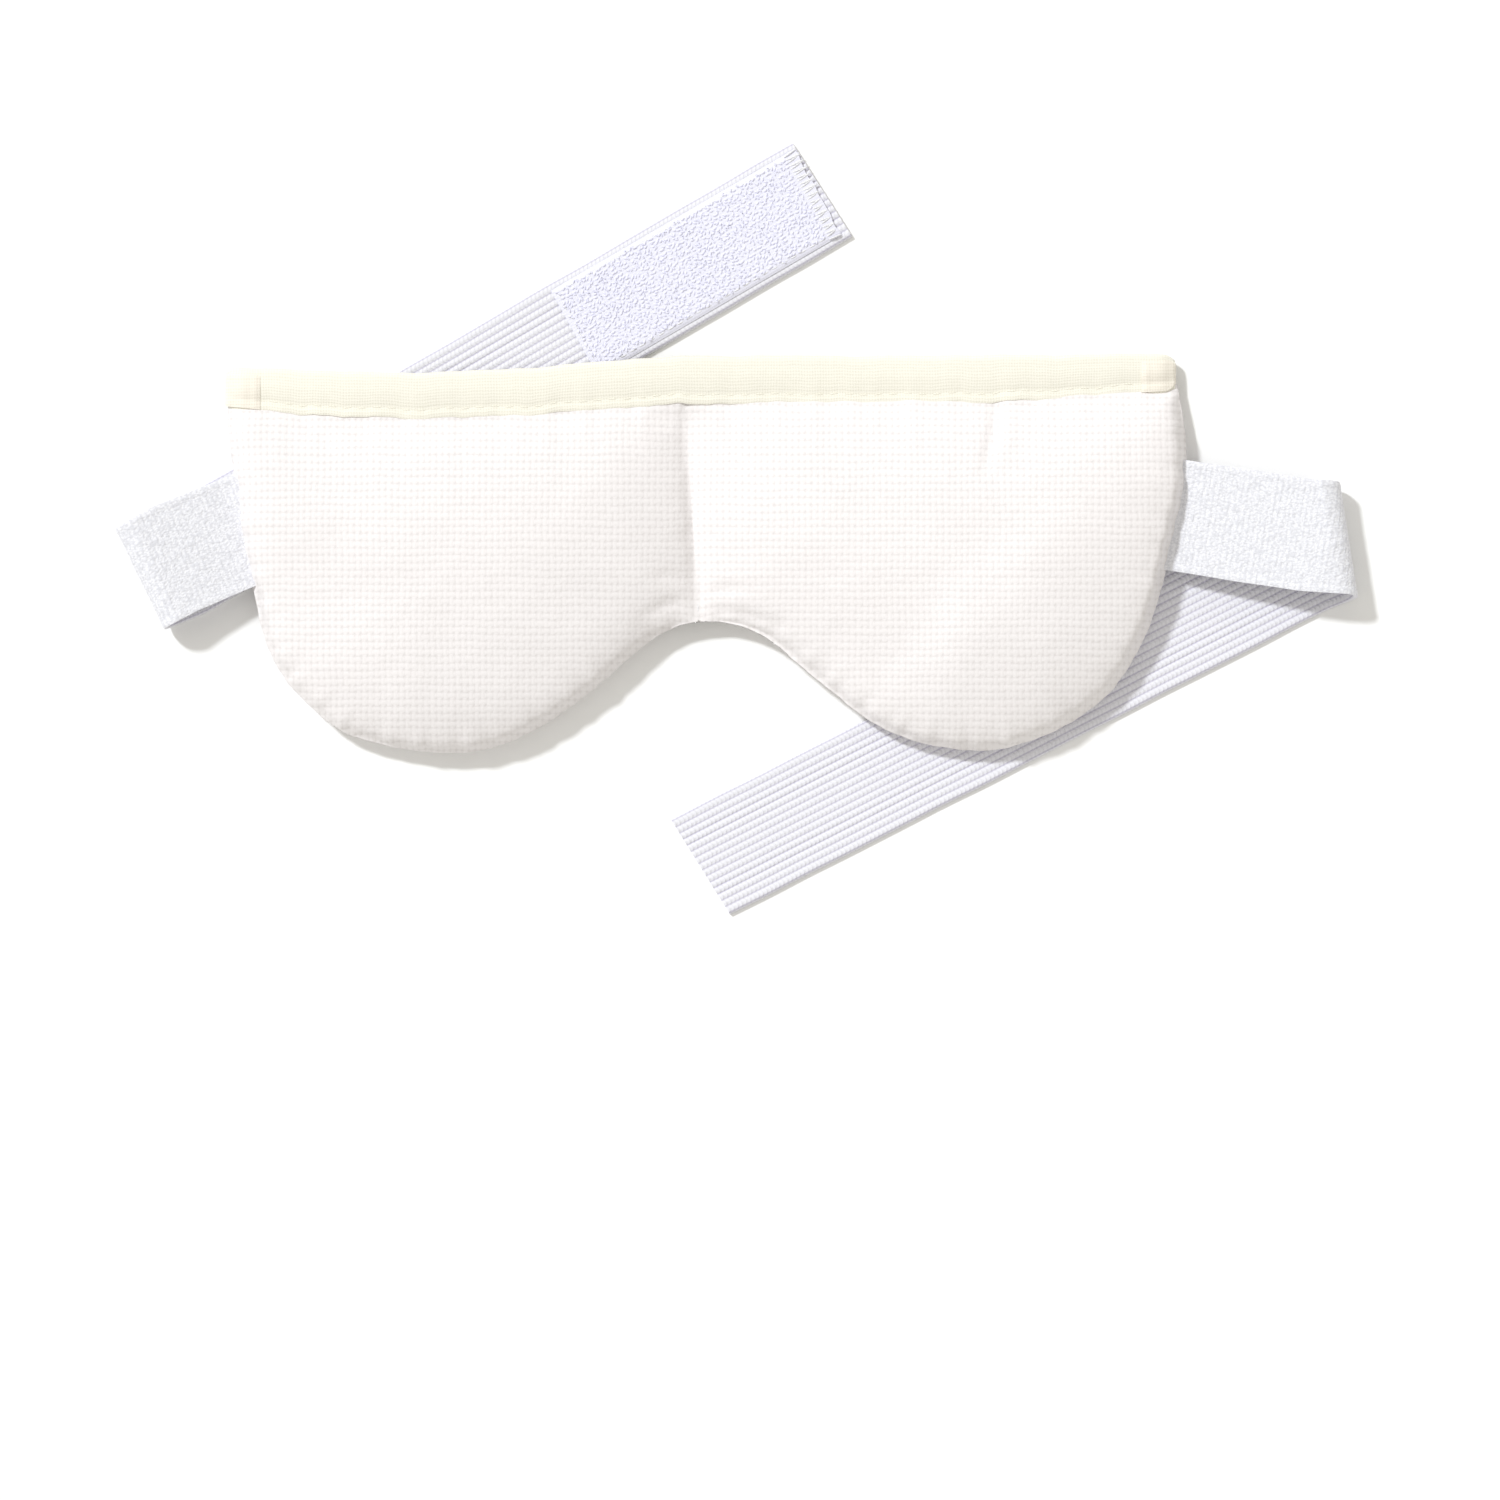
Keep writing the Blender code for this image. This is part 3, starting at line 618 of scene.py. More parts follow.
def bound_edge(x):
    """The y of the bound edge at each x."""
    heights = []
    for side in SIDES:
        curve = smooth_curve(TOP_EDGE[side], CURVE_STEPS)
        curve = curve[np.argsort(curve[:, 0])]
        heights.append(np.interp(x, curve[:, 0], curve[:, 1]))
    return np.where(x < 0, *heights)


def nose_point(y, clearance=0.0):
    """The place on the nose seam at this y, moved sideways by the clearance."""
    share = (y - NOSE_TOP[1]) / (NOSE_NOTCH[1] - NOSE_TOP[1])
    return np.array([NOSE_TOP[0] + share * (NOSE_NOTCH[0] - NOSE_TOP[0]) + clearance, y])


def near_nose(points):
    """For each point, its distance from the nose seam and how far down the seam the nearest place is."""
    return near_line(points[:, :2], np.array([NOSE_TOP, NOSE_NOTCH]))


def belly_line(side):
    """The lobe's free edge, from its outer top corner round to the nose notch."""
    return smooth_curve(SIDE_AND_BELLY[side], CURVE_STEPS)


def inward(side, places):
    """The unit vectors from these places towards the middle of the lobe."""
    away = np.array(LOBE_CENTRE[side]) - places
    return away / np.linalg.norm(away, axis=1, keepdims=True)


def lobe_outline(side):
    """A lobe's outline in order, the matching foot of its crown, and half the gap between its panels."""
    sign = -1.0 if side == "left" else 1.0
    top = resample(smooth_curve(TOP_EDGE[side], CURVE_STEPS), EDGE_STEPS["top"])
    edge_top = top - (0, HEM_TOP)
    edge_top[-1] -= (CORNER_INSET[0] * sign, CORNER_INSET[1])
    top[-1, 0] = SIDE_AND_BELLY[side][0][0]
    foot_top = top - np.stack([0 * top[:, 0], binding_depth(top[:, 0]) + HEM_REACH], axis=-1)
    foot_top[:, 0] = foot_top[:, 0] + sign * np.interp(np.arange(len(top)), [0, 3], [2.2, 0])
    foot_top[-1] -= (sign * FOOT_INSET, 0)
    belly = belly_line(side)
    belly = belly[belly[:, 1] < foot_top[-1, 1] - 1.5]
    belly = resample(belly, EDGE_STEPS["belly"])
    foot_belly = belly + inward(side, belly) * FOOT_INSET
    nose_y = np.append(np.linspace(NOSE_NOTCH[1], -HEM_DEPTH - 1.2, EDGE_STEPS["nose"])[1:], -HEM_DEPTH / 2)
    nose = np.array([nose_point(y) for y in nose_y])
    foot_nose = np.array([nose_point(min(y, -HEM_DEPTH - 0.3), sign * FOOT_INSET) for y in nose_y])
    edge = np.concatenate([edge_top, belly, nose])
    foot = np.concatenate([foot_top, foot_belly, foot_nose])
    from_corner = np.abs(edge_top[:, 0] - edge_top[-1, 0])
    half = np.concatenate([
        HEM_HALF * np.clip(from_corner / 5.0, 0.15, 1), np.zeros(len(belly)),
        np.interp(nose_y, [NOSE_NOTCH[1], NOSE_NOTCH[1] + 6, -HEM_DEPTH - 3, -HEM_DEPTH],
                  [0, NOSE_HALF, NOSE_HALF, HEM_HALF]),
    ])
    half[len(edge_top) - 1] = 0.0
    return edge, foot, half


def strap_bed(points):
    """The lowest that the cover's underside may be: the table, or the strap that passes under it."""
    height = np.zeros(len(points))
    for side in SIDES:
        strap = Strap(side)
        start = strap.place(strap.fold_at + strap.half_turn / (strap.forward @ strap.out), 0, 0)[:2]
        run = strap.place(STRAP_LENGTH, 0, 0)[:2] - start
        run /= np.linalg.norm(run)
        offset = points[:, :2] - start
        away = np.abs(run[0] * offset[:, 1] - run[1] * offset[:, 0]) - STRAP_HALF - BED_MARGIN
        height = np.maximum(height, STRAP_BED * np.clip(1 - away / BED_SLOPE, 0, 1))
    return height


def inside(places, outline):
    """Which places lie inside a closed outline."""
    found = np.zeros(places.shape[:-1], bool)
    for (x0, y0), (x1, y1) in zip(outline, np.roll(outline, -1, axis=0)):
        if y0 == y1:
            continue
        crosses = (places[..., 1] < y0) != (places[..., 1] < y1)
        found ^= crosses & (places[..., 0] < x0 + (places[..., 1] - y0) * (x1 - x0) / (y1 - y0))
    return found


def soap_film(outline):
    """A soap film blown up over the outline: a function that gives its height, from 0 to 1, at each place."""
    low = outline.min(axis=0) - 2
    size = np.ceil(outline.max(axis=0) + 2 - low).astype(int)
    x, y = np.meshgrid(np.arange(size[0]), np.arange(size[1]), indexing="ij")
    held = inside(np.stack([x, y], axis=-1) + low, outline)
    height = np.zeros(held.shape)
    for _ in range(FILM_ROUNDS):
        around = height[2:, 1:-1] + height[:-2, 1:-1] + height[1:-1, 2:] + height[1:-1, :-2]
        height[1:-1, 1:-1] = held[1:-1, 1:-1] * (around + 1) / 4
    height /= height.max()

    def at(places):
        """The height at each place, evened out over one step of the grid."""
        shifted = [places + (dx, dy) - low for dx in (-0.5, 0.5) for dy in (-0.5, 0.5)]
        return sum(sampled(height, np.clip(grid, 0, size - 1.001)) for grid in shifted) / 4

    return at


@functools.cache
def lobe_film(side):
    """The soap film over one lobe."""
    return soap_film(lobe_outline(side)[1])


def crown_share(side, places):
    """How high the crown stands at each place, from 0 at its foot to 1 at its top. It rises slowly at the
    nose and steeply at the sides."""
    from_nose = near_nose(places)[0]
    from_side = np.abs(SIDE_AND_BELLY[side][0][0]) - np.abs(places[:, 0])
    power = CROWN_POWER
    for away, (gain, reach) in ((from_nose, NOSE_CROWN), (from_side, SIDE_CROWN)):
        power = power + gain * np.exp(-(away / reach) ** 2)
    return np.clip(lobe_film(side)(places), 0, 1) ** power


def evened(values, reach):
    """Values round a closed outline, each the mean of those up to this many places away."""
    for _ in range(2):
        values = sum(np.roll(values, step) for step in range(-reach, reach + 1)) / (2 * reach + 1)
    return values


def lobe_points(side):
    """The cover of one lobe before it swells: rings of points for the front panel and for the back one."""
    edge, foot, half = lobe_outline(side)
    centre = np.array(LOBE_CENTRE[side])
    shares = 1 - np.linspace(0, 1, CROWN_RINGS + 1)[:-1] ** 1.3
    flats = [edge] + [centre + (foot - centre) * t for t in shares] + [centre[None]]
    sheets = []
    for face, height in ((1, FRONT_CROWN), (-1, BACK_CROWN)):
        rings = []
        for k, flat in enumerate(flats):
            crown = 0.0 if k < 2 else crown_share(side, flat)
            rim = evened(half, 2 * max(0, k - 1)) if len(flat) > 1 else half.mean()
            lip = 0.35 * (k > 0)
            z = SEAM_LEVEL + face * ((rim + lip) * (1 - crown) ** 2 + crown * height)
            rings.append(np.column_stack([flat, z]))
        points = np.concatenate(rings)
        if face < 0:
            points[:, 2] = np.maximum(points[:, 2], strap_bed(points) + 0.1)
        sheets.append(points)
    return sheets, len(edge)


def add_sheet(shape, points, count, turn):
    """Adds rings of count points that close in on a last one, with their faces. Returns the vertices."""
    verts = [shape.verts.new(p) for p in world(points).tolist()]
    rings = len(points) // count
    for k in range(rings):
        for i in range(count):
            j = (i + 1) % count
            face = [verts[k * count + i], verts[k * count + j]]
            if k < rings - 1:
                face += [verts[(k + 1) * count + j], verts[(k + 1) * count + i]]
            else:
                face.append(verts[-1])
            shape.faces.new(face if turn else face[::-1])
    return verts


def weld(shape):
    """Joins the points that coincide and turns every face outwards."""
    bmesh.ops.remove_doubles(shape, verts=shape.verts, dist=WELD * MM)
    bmesh.ops.recalc_face_normals(shape, faces=shape.faces)


def shape_object(name, shape):
    """The finished shape as an object."""
    mesh = bpy.data.meshes.new(name)
    shape.to_mesh(mesh)
    shape.free()
    return add_object(name, mesh)


def cover_mesh():
    """Both lobes' panels, welded along the side seams and across the nose, with the sewn edges pinned."""
    shape = bmesh.new()
    pin = shape.verts.layers.deform.verify()
    rim = shape.verts.layers.int.new("rim")
    for side in SIDES:
        (front, back), count = lobe_points(side)
        made = []
        for points, turn in ((front, side == "left"), (back, side == "right")):
            verts = add_sheet(shape, points, count, turn)
            made.append(verts)
            for i in range(2 * count):
                if i < count or i % count <= EDGE_STEPS["top"]:
                    verts[i][pin][0] = 1.0
            for vert in verts[:count]:
                vert[rim] = 1
        for i in range(EDGE_STEPS["top"]):
            quad = [made[0][i], made[0][i + 1], made[1][i + 1], made[1][i]]
            shape.faces.new(quad[::-1] if side == "left" else quad)
    weld(shape)
    sharp = shape.edges.layers.float.new("crease_edge")
    for edge in shape.edges:
        if all(vert[rim] for vert in edge.verts):
            edge[sharp] = 1.0
    cover = shape_object("cover", shape)
    cover.vertex_groups.new(name="sewn")
    return cover


def relaxed(mesh, values, rounds, held):
    """Values at the mesh's points, evened out between neighbours and kept at zero where held."""
    ends = np.array([tuple(edge.vertices) for edge in mesh.edges])
    a, b = ends.T
    count = np.bincount(ends.ravel(), minlength=len(values))[:, None]
    for _ in range(rounds):
        total = np.zeros_like(values)
        for k, part in enumerate(values.T):
            total[:, k] = np.bincount(a, part[b], len(values)) + np.bincount(b, part[a], len(values))
        values = np.where(held[:, None], 0.0, 0.5 * values + 0.5 * total / count)
    return values


def evened_move(places, move):
    """The move at each place as the mean of those around it, whatever pattern the mesh itself has."""
    cell = 3.0
    low = places.min(axis=0) - 2 * cell
    grid = (places - low) / cell
    i, j = grid.astype(int).T
    total = np.zeros((i.max() + 3, j.max() + 3, 4))
    np.add.at(total, (i, j), np.column_stack([move, np.ones(len(move))]))
    total /= np.maximum(total[..., 3:], 1)
    for _ in range(4):
        total = sum(np.roll(total, step, axis=(0, 1)) for step in ((0, 0), (0, 1), (0, -1), (1, 0), (-1, 0)))
        total /= 5
    mean = total[..., :3] / np.maximum(total[..., 3:], 1e-6)
    return sum(sampled(mean, grid + shift) for shift in ((-1, -1), (-1, 0), (0, -1), (0, 0))) / 4


def swell(cover):
    """Blows the sewn panels up with a cloth simulation, so that the fabric takes the shape of its filling."""
    before = layout_points(cover.data)
    cloth = cover.modifiers.new("Cloth", "CLOTH")
    cloth.settings.quality = 7
    cloth.settings.mass = 0.02
    cloth.settings.tension_stiffness = 20
    cloth.settings.compression_stiffness = 20
    cloth.settings.shear_stiffness = 8
    cloth.settings.bending_stiffness = 0.02
    cloth.settings.vertex_group_mass = "sewn"
    cloth.settings.use_pressure = True
    cloth.settings.uniform_pressure_force = 4.0
    cloth.settings.shrink_min = -0.012
    cloth.settings.effector_weights.gravity = 0.0
    cloth.point_cache.frame_start = 1
    cloth.point_cache.frame_end = SWELL_FRAMES
    for step in range(SWELL_FRAMES):
        bpy.context.scene.frame_set(step + 1)
    graph = bpy.context.evaluated_depsgraph_get()
    after = layout_points(cover.evaluated_get(graph).to_mesh())
    cover.modifiers.remove(cloth)
    bpy.context.scene.frame_set(1)
    sewn = np.array([len(vert.groups) > 0 for vert in cover.data.vertices])
    move = after - before
    upper = before[:, 2] > SEAM_LEVEL
    for chosen in (upper, ~upper):
        move[chosen] = evened_move(before[chosen, :2], move[chosen])
    move = relaxed(cover.data, move, 3, sewn)
    size = np.linalg.norm(move, axis=1, keepdims=True)
    move *= np.tanh(size / SWELL_CAP) * SWELL_CAP / np.maximum(size, 1e-6)
    move_points(cover.data, before + move)


def subdivide(piece, levels):
    """Smooths the piece's mesh by this many subdivisions, for good."""
    piece.modifiers.new("Smooth", "SUBSURF").levels = levels
    graph = bpy.context.evaluated_depsgraph_get()
    mesh = bpy.data.meshes.new_from_object(piece.evaluated_get(graph))
    piece.modifiers.clear()
    piece.vertex_groups.clear()
    piece.data = mesh


def crease(points, line, width, depth):
    """A soft furrow along a short line, which fades out towards its ends. A negative depth makes a fold."""
    line = np.array(line, float)
    gap, along = near_line(points[:, :2], line)
    total = np.linalg.norm(np.diff(line, axis=0), axis=1).sum()
    fade = np.sin(math.pi * np.clip(along / total, 0.04, 0.96)) ** 0.5
    return -depth * fade * np.exp(-(gap / width) ** 2)


def binding_depth(x):
    """How far the binding reaches down the front at each x."""
    return np.interp(x, BINDING_PLACES, BINDING_DEPTHS)


def binding_pleat(x):
    """How the fabric is gathered along the binding: -1 in a furrow, 1 on a fold."""
    return 0.55 * wave(x, 7.5, 2.0) + 0.45 * wave(x, 19.0, 5.0)


def furrows(points, front):
    """The puckers that the sewing leaves, as a height in millimetres for each point."""
    x, y = points[:, 0], points[:, 1]
    height = 0.22 * rough(points, 21.0, 1.0) + 0.10 * rough(points, 8.0, 2.0)
    height += 0.035 * rough(points, 3.2, 3.0)
    under = bound_edge(x) - binding_depth(x) - y
    gather = np.exp(-np.clip(under, 0, None) / 6.5) * np.clip((under + 4) / 4, 0, 1)
    height += 0.42 * gather * binding_pleat(x if front else x + 31.0)
    for k, side in enumerate(SIDES):
        away, along = near_line(points[:, :2], belly_line(side))
        height += 0.28 * np.exp(-(away / 4.5) ** 2) * wave(along, 6.5, 3.0 + k) * np.clip(away / 1.2, 0, 1)
        height += 0.20 * np.exp(-(away / 12.0)) * wave(along, 23.0, 7.0 + k)
    away, along = near_nose(points)
    side_seed = np.where(x > NOSE_TOP[0], 1.0, 4.0)
    pull = 0.6 * wave(along, 9.0, 1.0) + 0.4 * wave(along + 3 * side_seed, 6.0, 2.0)
    height += 0.16 * np.exp(-(away / 5.0) ** 2) * pull * np.clip(away / 1.0, 0, 1)
    if front:
        for line, width, depth in CREASES:
            height += crease(points, line, width, depth)
    return height


def settle(points):
    """The lobes' outer top corners hang lower than the rest: these points sink with them."""
    sunk = points.copy()
    out = np.clip((np.abs(points[..., 0]) - SAG_START[0]) / SAG_SPAN[0], 0, 1)
    up = np.clip((points[..., 1] - SAG_START[1]) / SAG_SPAN[1], 0, 1)
    sunk[..., 2] -= SAG * (out * up) ** 2.5 * np.clip(points[..., 2] / SEAM_LEVEL, 0, 1)
    return sunk


def smoothed_points(cover):
    """Where the cover's points come to lie once its mesh is smoothed."""
    smooth = cover.modifiers.new("Smooth", "SUBSURF")
    graph = bpy.context.evaluated_depsgraph_get()
    found = layout_points(cover.evaluated_get(graph).to_mesh())[:len(cover.data.vertices)]
    cover.modifiers.remove(smooth)
    return found


def fit_crown(cover):
    """Raises the front's points until the smoothed surface follows the crown at its rings' corners too."""
    built = layout_points(cover.data)
    points = built.copy()
    for _ in range(3):
        smooth = smoothed_points(cover)
        for side, chosen in (("left", built[:, 0] < 0), ("right", built[:, 0] >= 0)):
            chosen = chosen & (built[:, 2] > SEAM_LEVEL + 2)
            crown = crown_share(side, smooth[chosen, :2])
            wanted = built[chosen, 2] + FRONT_CROWN * (crown - crown_share(side, built[chosen, :2]))
            points[chosen, 2] += (wanted - smooth[chosen, 2]) * np.clip((crown - 0.3) / 0.3, 0, 1)
        move_points(cover.data, points)
        cover.data.update()


def puckered(rest, normals):
    """The cover's points with the puckers of its sewing, its wavy side seams and the pull at the notch."""
    points = rest.copy()
    upper = rest[:, 2] > SEAM_LEVEL
    for front, chosen in ((True, upper), (False, ~upper)):
        height = furrows(rest[chosen], front)
        hem = np.clip((SEAM_LEVEL - np.abs(rest[chosen, 2] - SEAM_LEVEL)) / SEAM_LEVEL, 0, 1)
        points[chosen] += normals[chosen] * (height * (1 - hem ** 8))[:, None]
    for k, side in enumerate(SIDES):
        away, along = near_line(rest[:, :2], belly_line(side))
        pull = np.exp(-(away / 2.5) ** 2)
        points[:, 2] += 0.16 * pull * wave(along, 8.0, 11.0 + k)
        sway = 0.10 * wave(along, 5.5, 13.0 + k) + 0.25 * wave(along, 27.0, 17.0 + k)
        points[:, :2] += (pull * sway)[:, None] * inward(side, rest[:, :2])
    from_notch = np.linalg.norm(rest[:, :2] - NOSE_NOTCH, axis=1)
    points[:, 1] -= 0.7 * np.exp(-(from_notch / 3.2) ** 2) + 0.4 * np.exp(-(from_notch / 0.9) ** 2)
    return points


def laid(points, soft=0.4):
    """The points kept above the table and the straps' runs, and flattened softly where they come near."""
    floor = strap_bed(points) + 0.05
    low = points[:, 2] < floor + soft
    kept = points.copy()
    kept[:, 2] = np.where(low, floor + soft * np.exp((points[:, 2] - floor - soft) / soft), points[:, 2])
    return kept


def build_cover():
    """The fabric of both lobes as one padded body."""
    cover = cover_mesh()
    fit_crown(cover)
    swell(cover)
    subdivide(cover, 2)
    rest = layout_points(cover.data)
    points = laid(settle(puckered(rest, vectors(cover.data, "normal"))))
    move_points(cover.data, points)
    set_attribute(cover, "pattern", rest)
    cover.data.materials.append(COVER)
    cover.data.shade_smooth()
    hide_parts(*[f"{side}_{face}_cover" for side in SIDES for face in ("front", "back")])
    across_nose(cover)


def across_nose(piece):
    """Bakes the piece's placing into its mesh; the piece spans the nose seam between the two lobes."""
    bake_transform(piece)


# ---------------------------------------------------------------- the straps


class Strap:
    """A flat elastic band that leaves the side seam, folds under along a slanted line and runs on below.

    A place on it is s, the distance along the band from the side seam, and w, the distance to the left of its
    middle, looking along it. The band bends only round the fold, so its length and width keep their size.
    """

    def __init__(self, side):
        shape = STRAPS[side]
        self.root = np.array(shape["root"])
        self.forward = heading(shape["heading"])
        self.across = heading(shape["heading"] + 90)
        self.fold = heading(shape["fold_bearing"])
        self.out = heading(shape["fold_bearing"] + 90)
        if self.out @ self.forward < 0:
            self.out = -self.out
        self.seam = np.array(shape["seam"]) - self.root
        self.seam /= np.linalg.norm(self.seam)
        self.radius = shape["radius"]
        self.fold_at = shape["fold_at"]
        self.crease = self.root + self.forward * self.fold_at
        self.top = STRAP_THICKNESS / 2 + 2 * self.radius
        self.half_turn = math.pi * self.radius
        self.drift = shape["drift"]
        self.skew = shape["skew"]

    def shift(self, s):
        """How far the soft band has slipped sideways: nothing before the fold, then evenly to its end."""
        turned = self.fold_at + self.half_turn / (self.forward @ self.out)
        places = (self.fold_at - DRIFT_LEAD, turned + DRIFT_LEAD, STRAP_LENGTH)
        return np.interp(s, places, (0.0, *self.drift))

    def at_seam(self, beyond, w):
        """s at each w, on a line parallel to the side seam."""
        normal = np.array([-self.seam[1], self.seam[0]])
        start = self.forward * beyond
        return (start - np.outer(w, self.across)) @ normal / (self.forward @ normal)

    def at_fold(self, before, w):
        """s at each w, on a line parallel to the fold and this far before it."""
        return self.fold_at - (before + w * (self.across @ self.out)) / (self.forward @ self.out)

    def place(self, s, w, lift):
        """Points of the band's middle surface at s, w, moved off towards its outer face by lift."""
        s, w, lift = np.broadcast_arrays(np.asarray(s, float), w, lift)
        w = w + self.shift(s)
        flat = self.root + s[..., None] * self.forward + w[..., None] * self.across
        beyond = (flat - self.crease) @ self.out
        sideways = self.crease + ((flat - self.crease) @ self.fold)[..., None] * self.fold
        share = np.clip(s / self.fold_at, 0, 1)
        rise = SEAM_LEVEL + (self.top - SEAM_LEVEL) * share
        out_run = np.concatenate([flat, (rise + lift)[..., None]], axis=-1)
        turn = np.clip(beyond / self.radius, 0, math.pi)
        arm = self.radius + lift
        round_xy = sideways + (arm * np.sin(turn))[..., None] * self.out
        middle = self.top - self.radius
        level = arm * np.sign(np.cos(turn)) * np.abs(np.cos(turn)) ** FOLD_POWER
        bend = np.concatenate([round_xy, (middle + level)[..., None]], axis=-1)
        back = sideways - (beyond - self.half_turn)[..., None] * self.out
        run = np.concatenate([back, (middle - self.radius - lift)[..., None]], axis=-1)
        place = np.where((beyond > 0)[..., None], bend, out_run)
        return np.where((beyond > self.half_turn)[..., None], run, place)


def strap_relief(s, w):
    """How far the loop face and the ribbed face dip below the band's full thickness, and the loops' level."""
    edge = np.clip((STRAP_HALF - np.abs(w)) / 1.3, 0, 1)
    selvedge = 1 - np.sqrt(np.clip(1 - (1 - edge) ** 2, 0, 1))
    field = np.clip((STRAP_HALF - 1.1 - np.abs(w)) / 0.5, 0, 1)
    points = np.stack([s, w, np.zeros_like(s)], axis=-1).reshape(-1, 3)
    jitter = rough(points, 2.6, 4.0).reshape(s.shape)
    nubs = rough(points * (1.0, 1.25, 1.0), 1.15, 5.0).reshape(s.shape)
    loops = (0.10 + 0.10 * nubs + 0.03 * jitter) * field
    rib = np.abs(np.cos(math.pi * w / RIB_PITCH)) ** 0.75
    ribs = (0.29 * (1 - rib) + 0.04 * jitter) * field
    return loops + 0.12 * selvedge, ribs + 0.62 * selvedge, -loops


def band(name, strap, starts, ends):
    """A length of strap with its loop face and its ribbed face, between two cuts given as s at each w."""
    step, columns = 0.5, 76
    w = np.linspace(-STRAP_HALF, STRAP_HALF, columns + 1)
    first, last = starts(w), ends(w)
    rows = int(np.max(last - first) / step) + 1
    s = first + (last - first) * np.linspace(0, 1, rows + 1)[:, None]
    w = np.broadcast_to(w, s.shape)
    loops, ribs, nub = strap_relief(s, w)
    skin = STRAP_THICKNESS / 2
    sway = 0.12 * wave(s, 31.0, 3.0) * (w / STRAP_HALF) ** 3
    outer = strap.place(s, w + sway, skin - loops)
    inner = strap.place(s, w + sway, -skin + ribs)
    return shell(name, outer, inner, np.stack([s, w, nub], axis=-1), [LOOPS, RIBS])


def build_strap(side):
    """One strap in two pieces, cut just before the fold: one from inside the side seam, one round the fold to
    the end.
    """
    strap = Strap(side)
    cuts = (
        lambda w: strap.at_seam(-TAIL_END, w),
        lambda w: strap.at_fold(FOLD_CUT, w),
        lambda w: STRAP_LENGTH + strap.skew * w / STRAP_HALF,
    )
    near = band(f"{side}_strap_near", strap, cuts[0], cuts[1])
    far = band(f"{side}_strap_far", strap, cuts[1], cuts[2])
    w = np.linspace(-STRAP_HALF, STRAP_HALF, 41)
    for piece, start, end, held in ((near, cuts[0], cuts[1], "stretched"), (far, cuts[1], cuts[2], "folded")):
        length = float(np.mean(end(w) - start(w))) * MM
    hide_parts(f"{side}_strap_tail", f"{side}_strap_outer")
    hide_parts(f"{side}_strap_fold", f"{side}_strap_run")
    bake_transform(near)
    over, under = (0, 0, (strap.top - 0.8) * MM), (0, 0, 1.5 * MM)
    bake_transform(far)
    return strap


def build_hook_patch(strap):
    """The hook tape on the left strap's end, its hooks, the stitches round it and the overlocked end."""
    length, width = np.linspace(HOOK_START, HOOK_STOP, 150), np.linspace(-HOOK_HALF, HOOK_HALF, 56)
    s, w = np.meshgrid(length, width, indexing="ij")
    s = s + 0.35 * wave(w, 7.0, 2.0) * (s - HOOK_START) / (HOOK_STOP - HOOK_START)
    field_edge = np.minimum(HOOK_HALF - np.abs(w), s - HOOK_START)
    row = np.minimum(np.abs(HOOK_HALF - HOOK_ROW - np.abs(w)), np.abs(s - HOOK_START - HOOK_ROW))
    ripple = 0.10 * rough(np.stack([s, w, 0 * s], axis=-1).reshape(-1, 3), 5.0, 6.0).reshape(s.shape)
    thick = 0.14 + 0.46 * np.clip(field_edge, 0, 1) - 0.08 * np.exp(-(row / 0.45) ** 2) + 0.5 * ripple
    top = strap.place(s, w, STRAP_UNDER - thick)
    bottom = strap.place(s, w, STRAP_UNDER)
    tape = shell("hook_tape", top, bottom, np.stack([s, w], axis=-1), [HOOK_TAPE])
    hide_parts("hook_patch")
    for piece in (tape, build_hooks(strap), build_hook_stitches(strap), build_overlock(strap)):
        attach(piece, "left_strap_end")


def build_hooks(strap):
    """Rows of small bent hooks over the middle of the tape."""
    rows = np.arange(HOOK_START + 1.4, HOOK_STOP - 2.6, HOOK_PITCH[0])
    columns = np.arange(-HOOK_HALF + 1.2, HOOK_HALF - 1.1, HOOK_PITCH[1])
    s, w = np.meshgrid(rows, columns, indexing="ij")
    s, w = s.ravel(), w.ravel()
    s, w = s + 0.25 * wave(w * 3.1 + s * 1.7, 5.0, 1.0), w + 0.22 * wave(s * 2.3 + w * 4.7, 5.0, 2.0)
    turn = math.tau * wave(s * 5.3 + w * 3.9, 4.0, 3.0)
    profile = ((0.0, 0.0), (0.02, 0.45), (0.14, 0.80), (0.36, 0.92), (0.58, 0.78), (0.64, 0.52))
    base = STRAP_UNDER - 0.42
    lines = []
    for reach, rise in profile:
        lines.append(strap.place(s + reach * np.cos(turn), w + reach * np.sin(turn), base - 0.26 * rise))
    thickness = [0.25, 0.25, 0.24, 0.23, 0.21, 0.16]
    hooks = tubes("hooks", np.stack(lines, axis=1), thickness, HOOKS, up=(*strap.across, 0.3))
    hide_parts("hook_patch")
    return hooks


def build_hook_stitches(strap):
    """The stitches along the tape's two sides and its inner end."""
    near, side, stop = HOOK_START + HOOK_ROW, HOOK_HALF - HOOK_ROW, HOOK_STOP - 3.2
    corners = [(stop, -side), (near, -side), (near, side), (stop, side)]
    lines = []
    for (s0, w0), (s1, w1) in zip(corners, corners[1:]):
        t = np.linspace(0, 1, 40)
        path = strap.place(s0 + (s1 - s0) * t, w0 + (w1 - w0) * t, HOOK_FACE + 0.1)
        lines += stitch_lines(path, 2.0, 0.45, 0.08, 0.15)
    radius = [0.08, 0.14, 0.16, 0.17, 0.16, 0.14, 0.08]
    return add_stitches("hook_patch_stitches", lines, radius, THREAD, ["hook_patch_thread"])


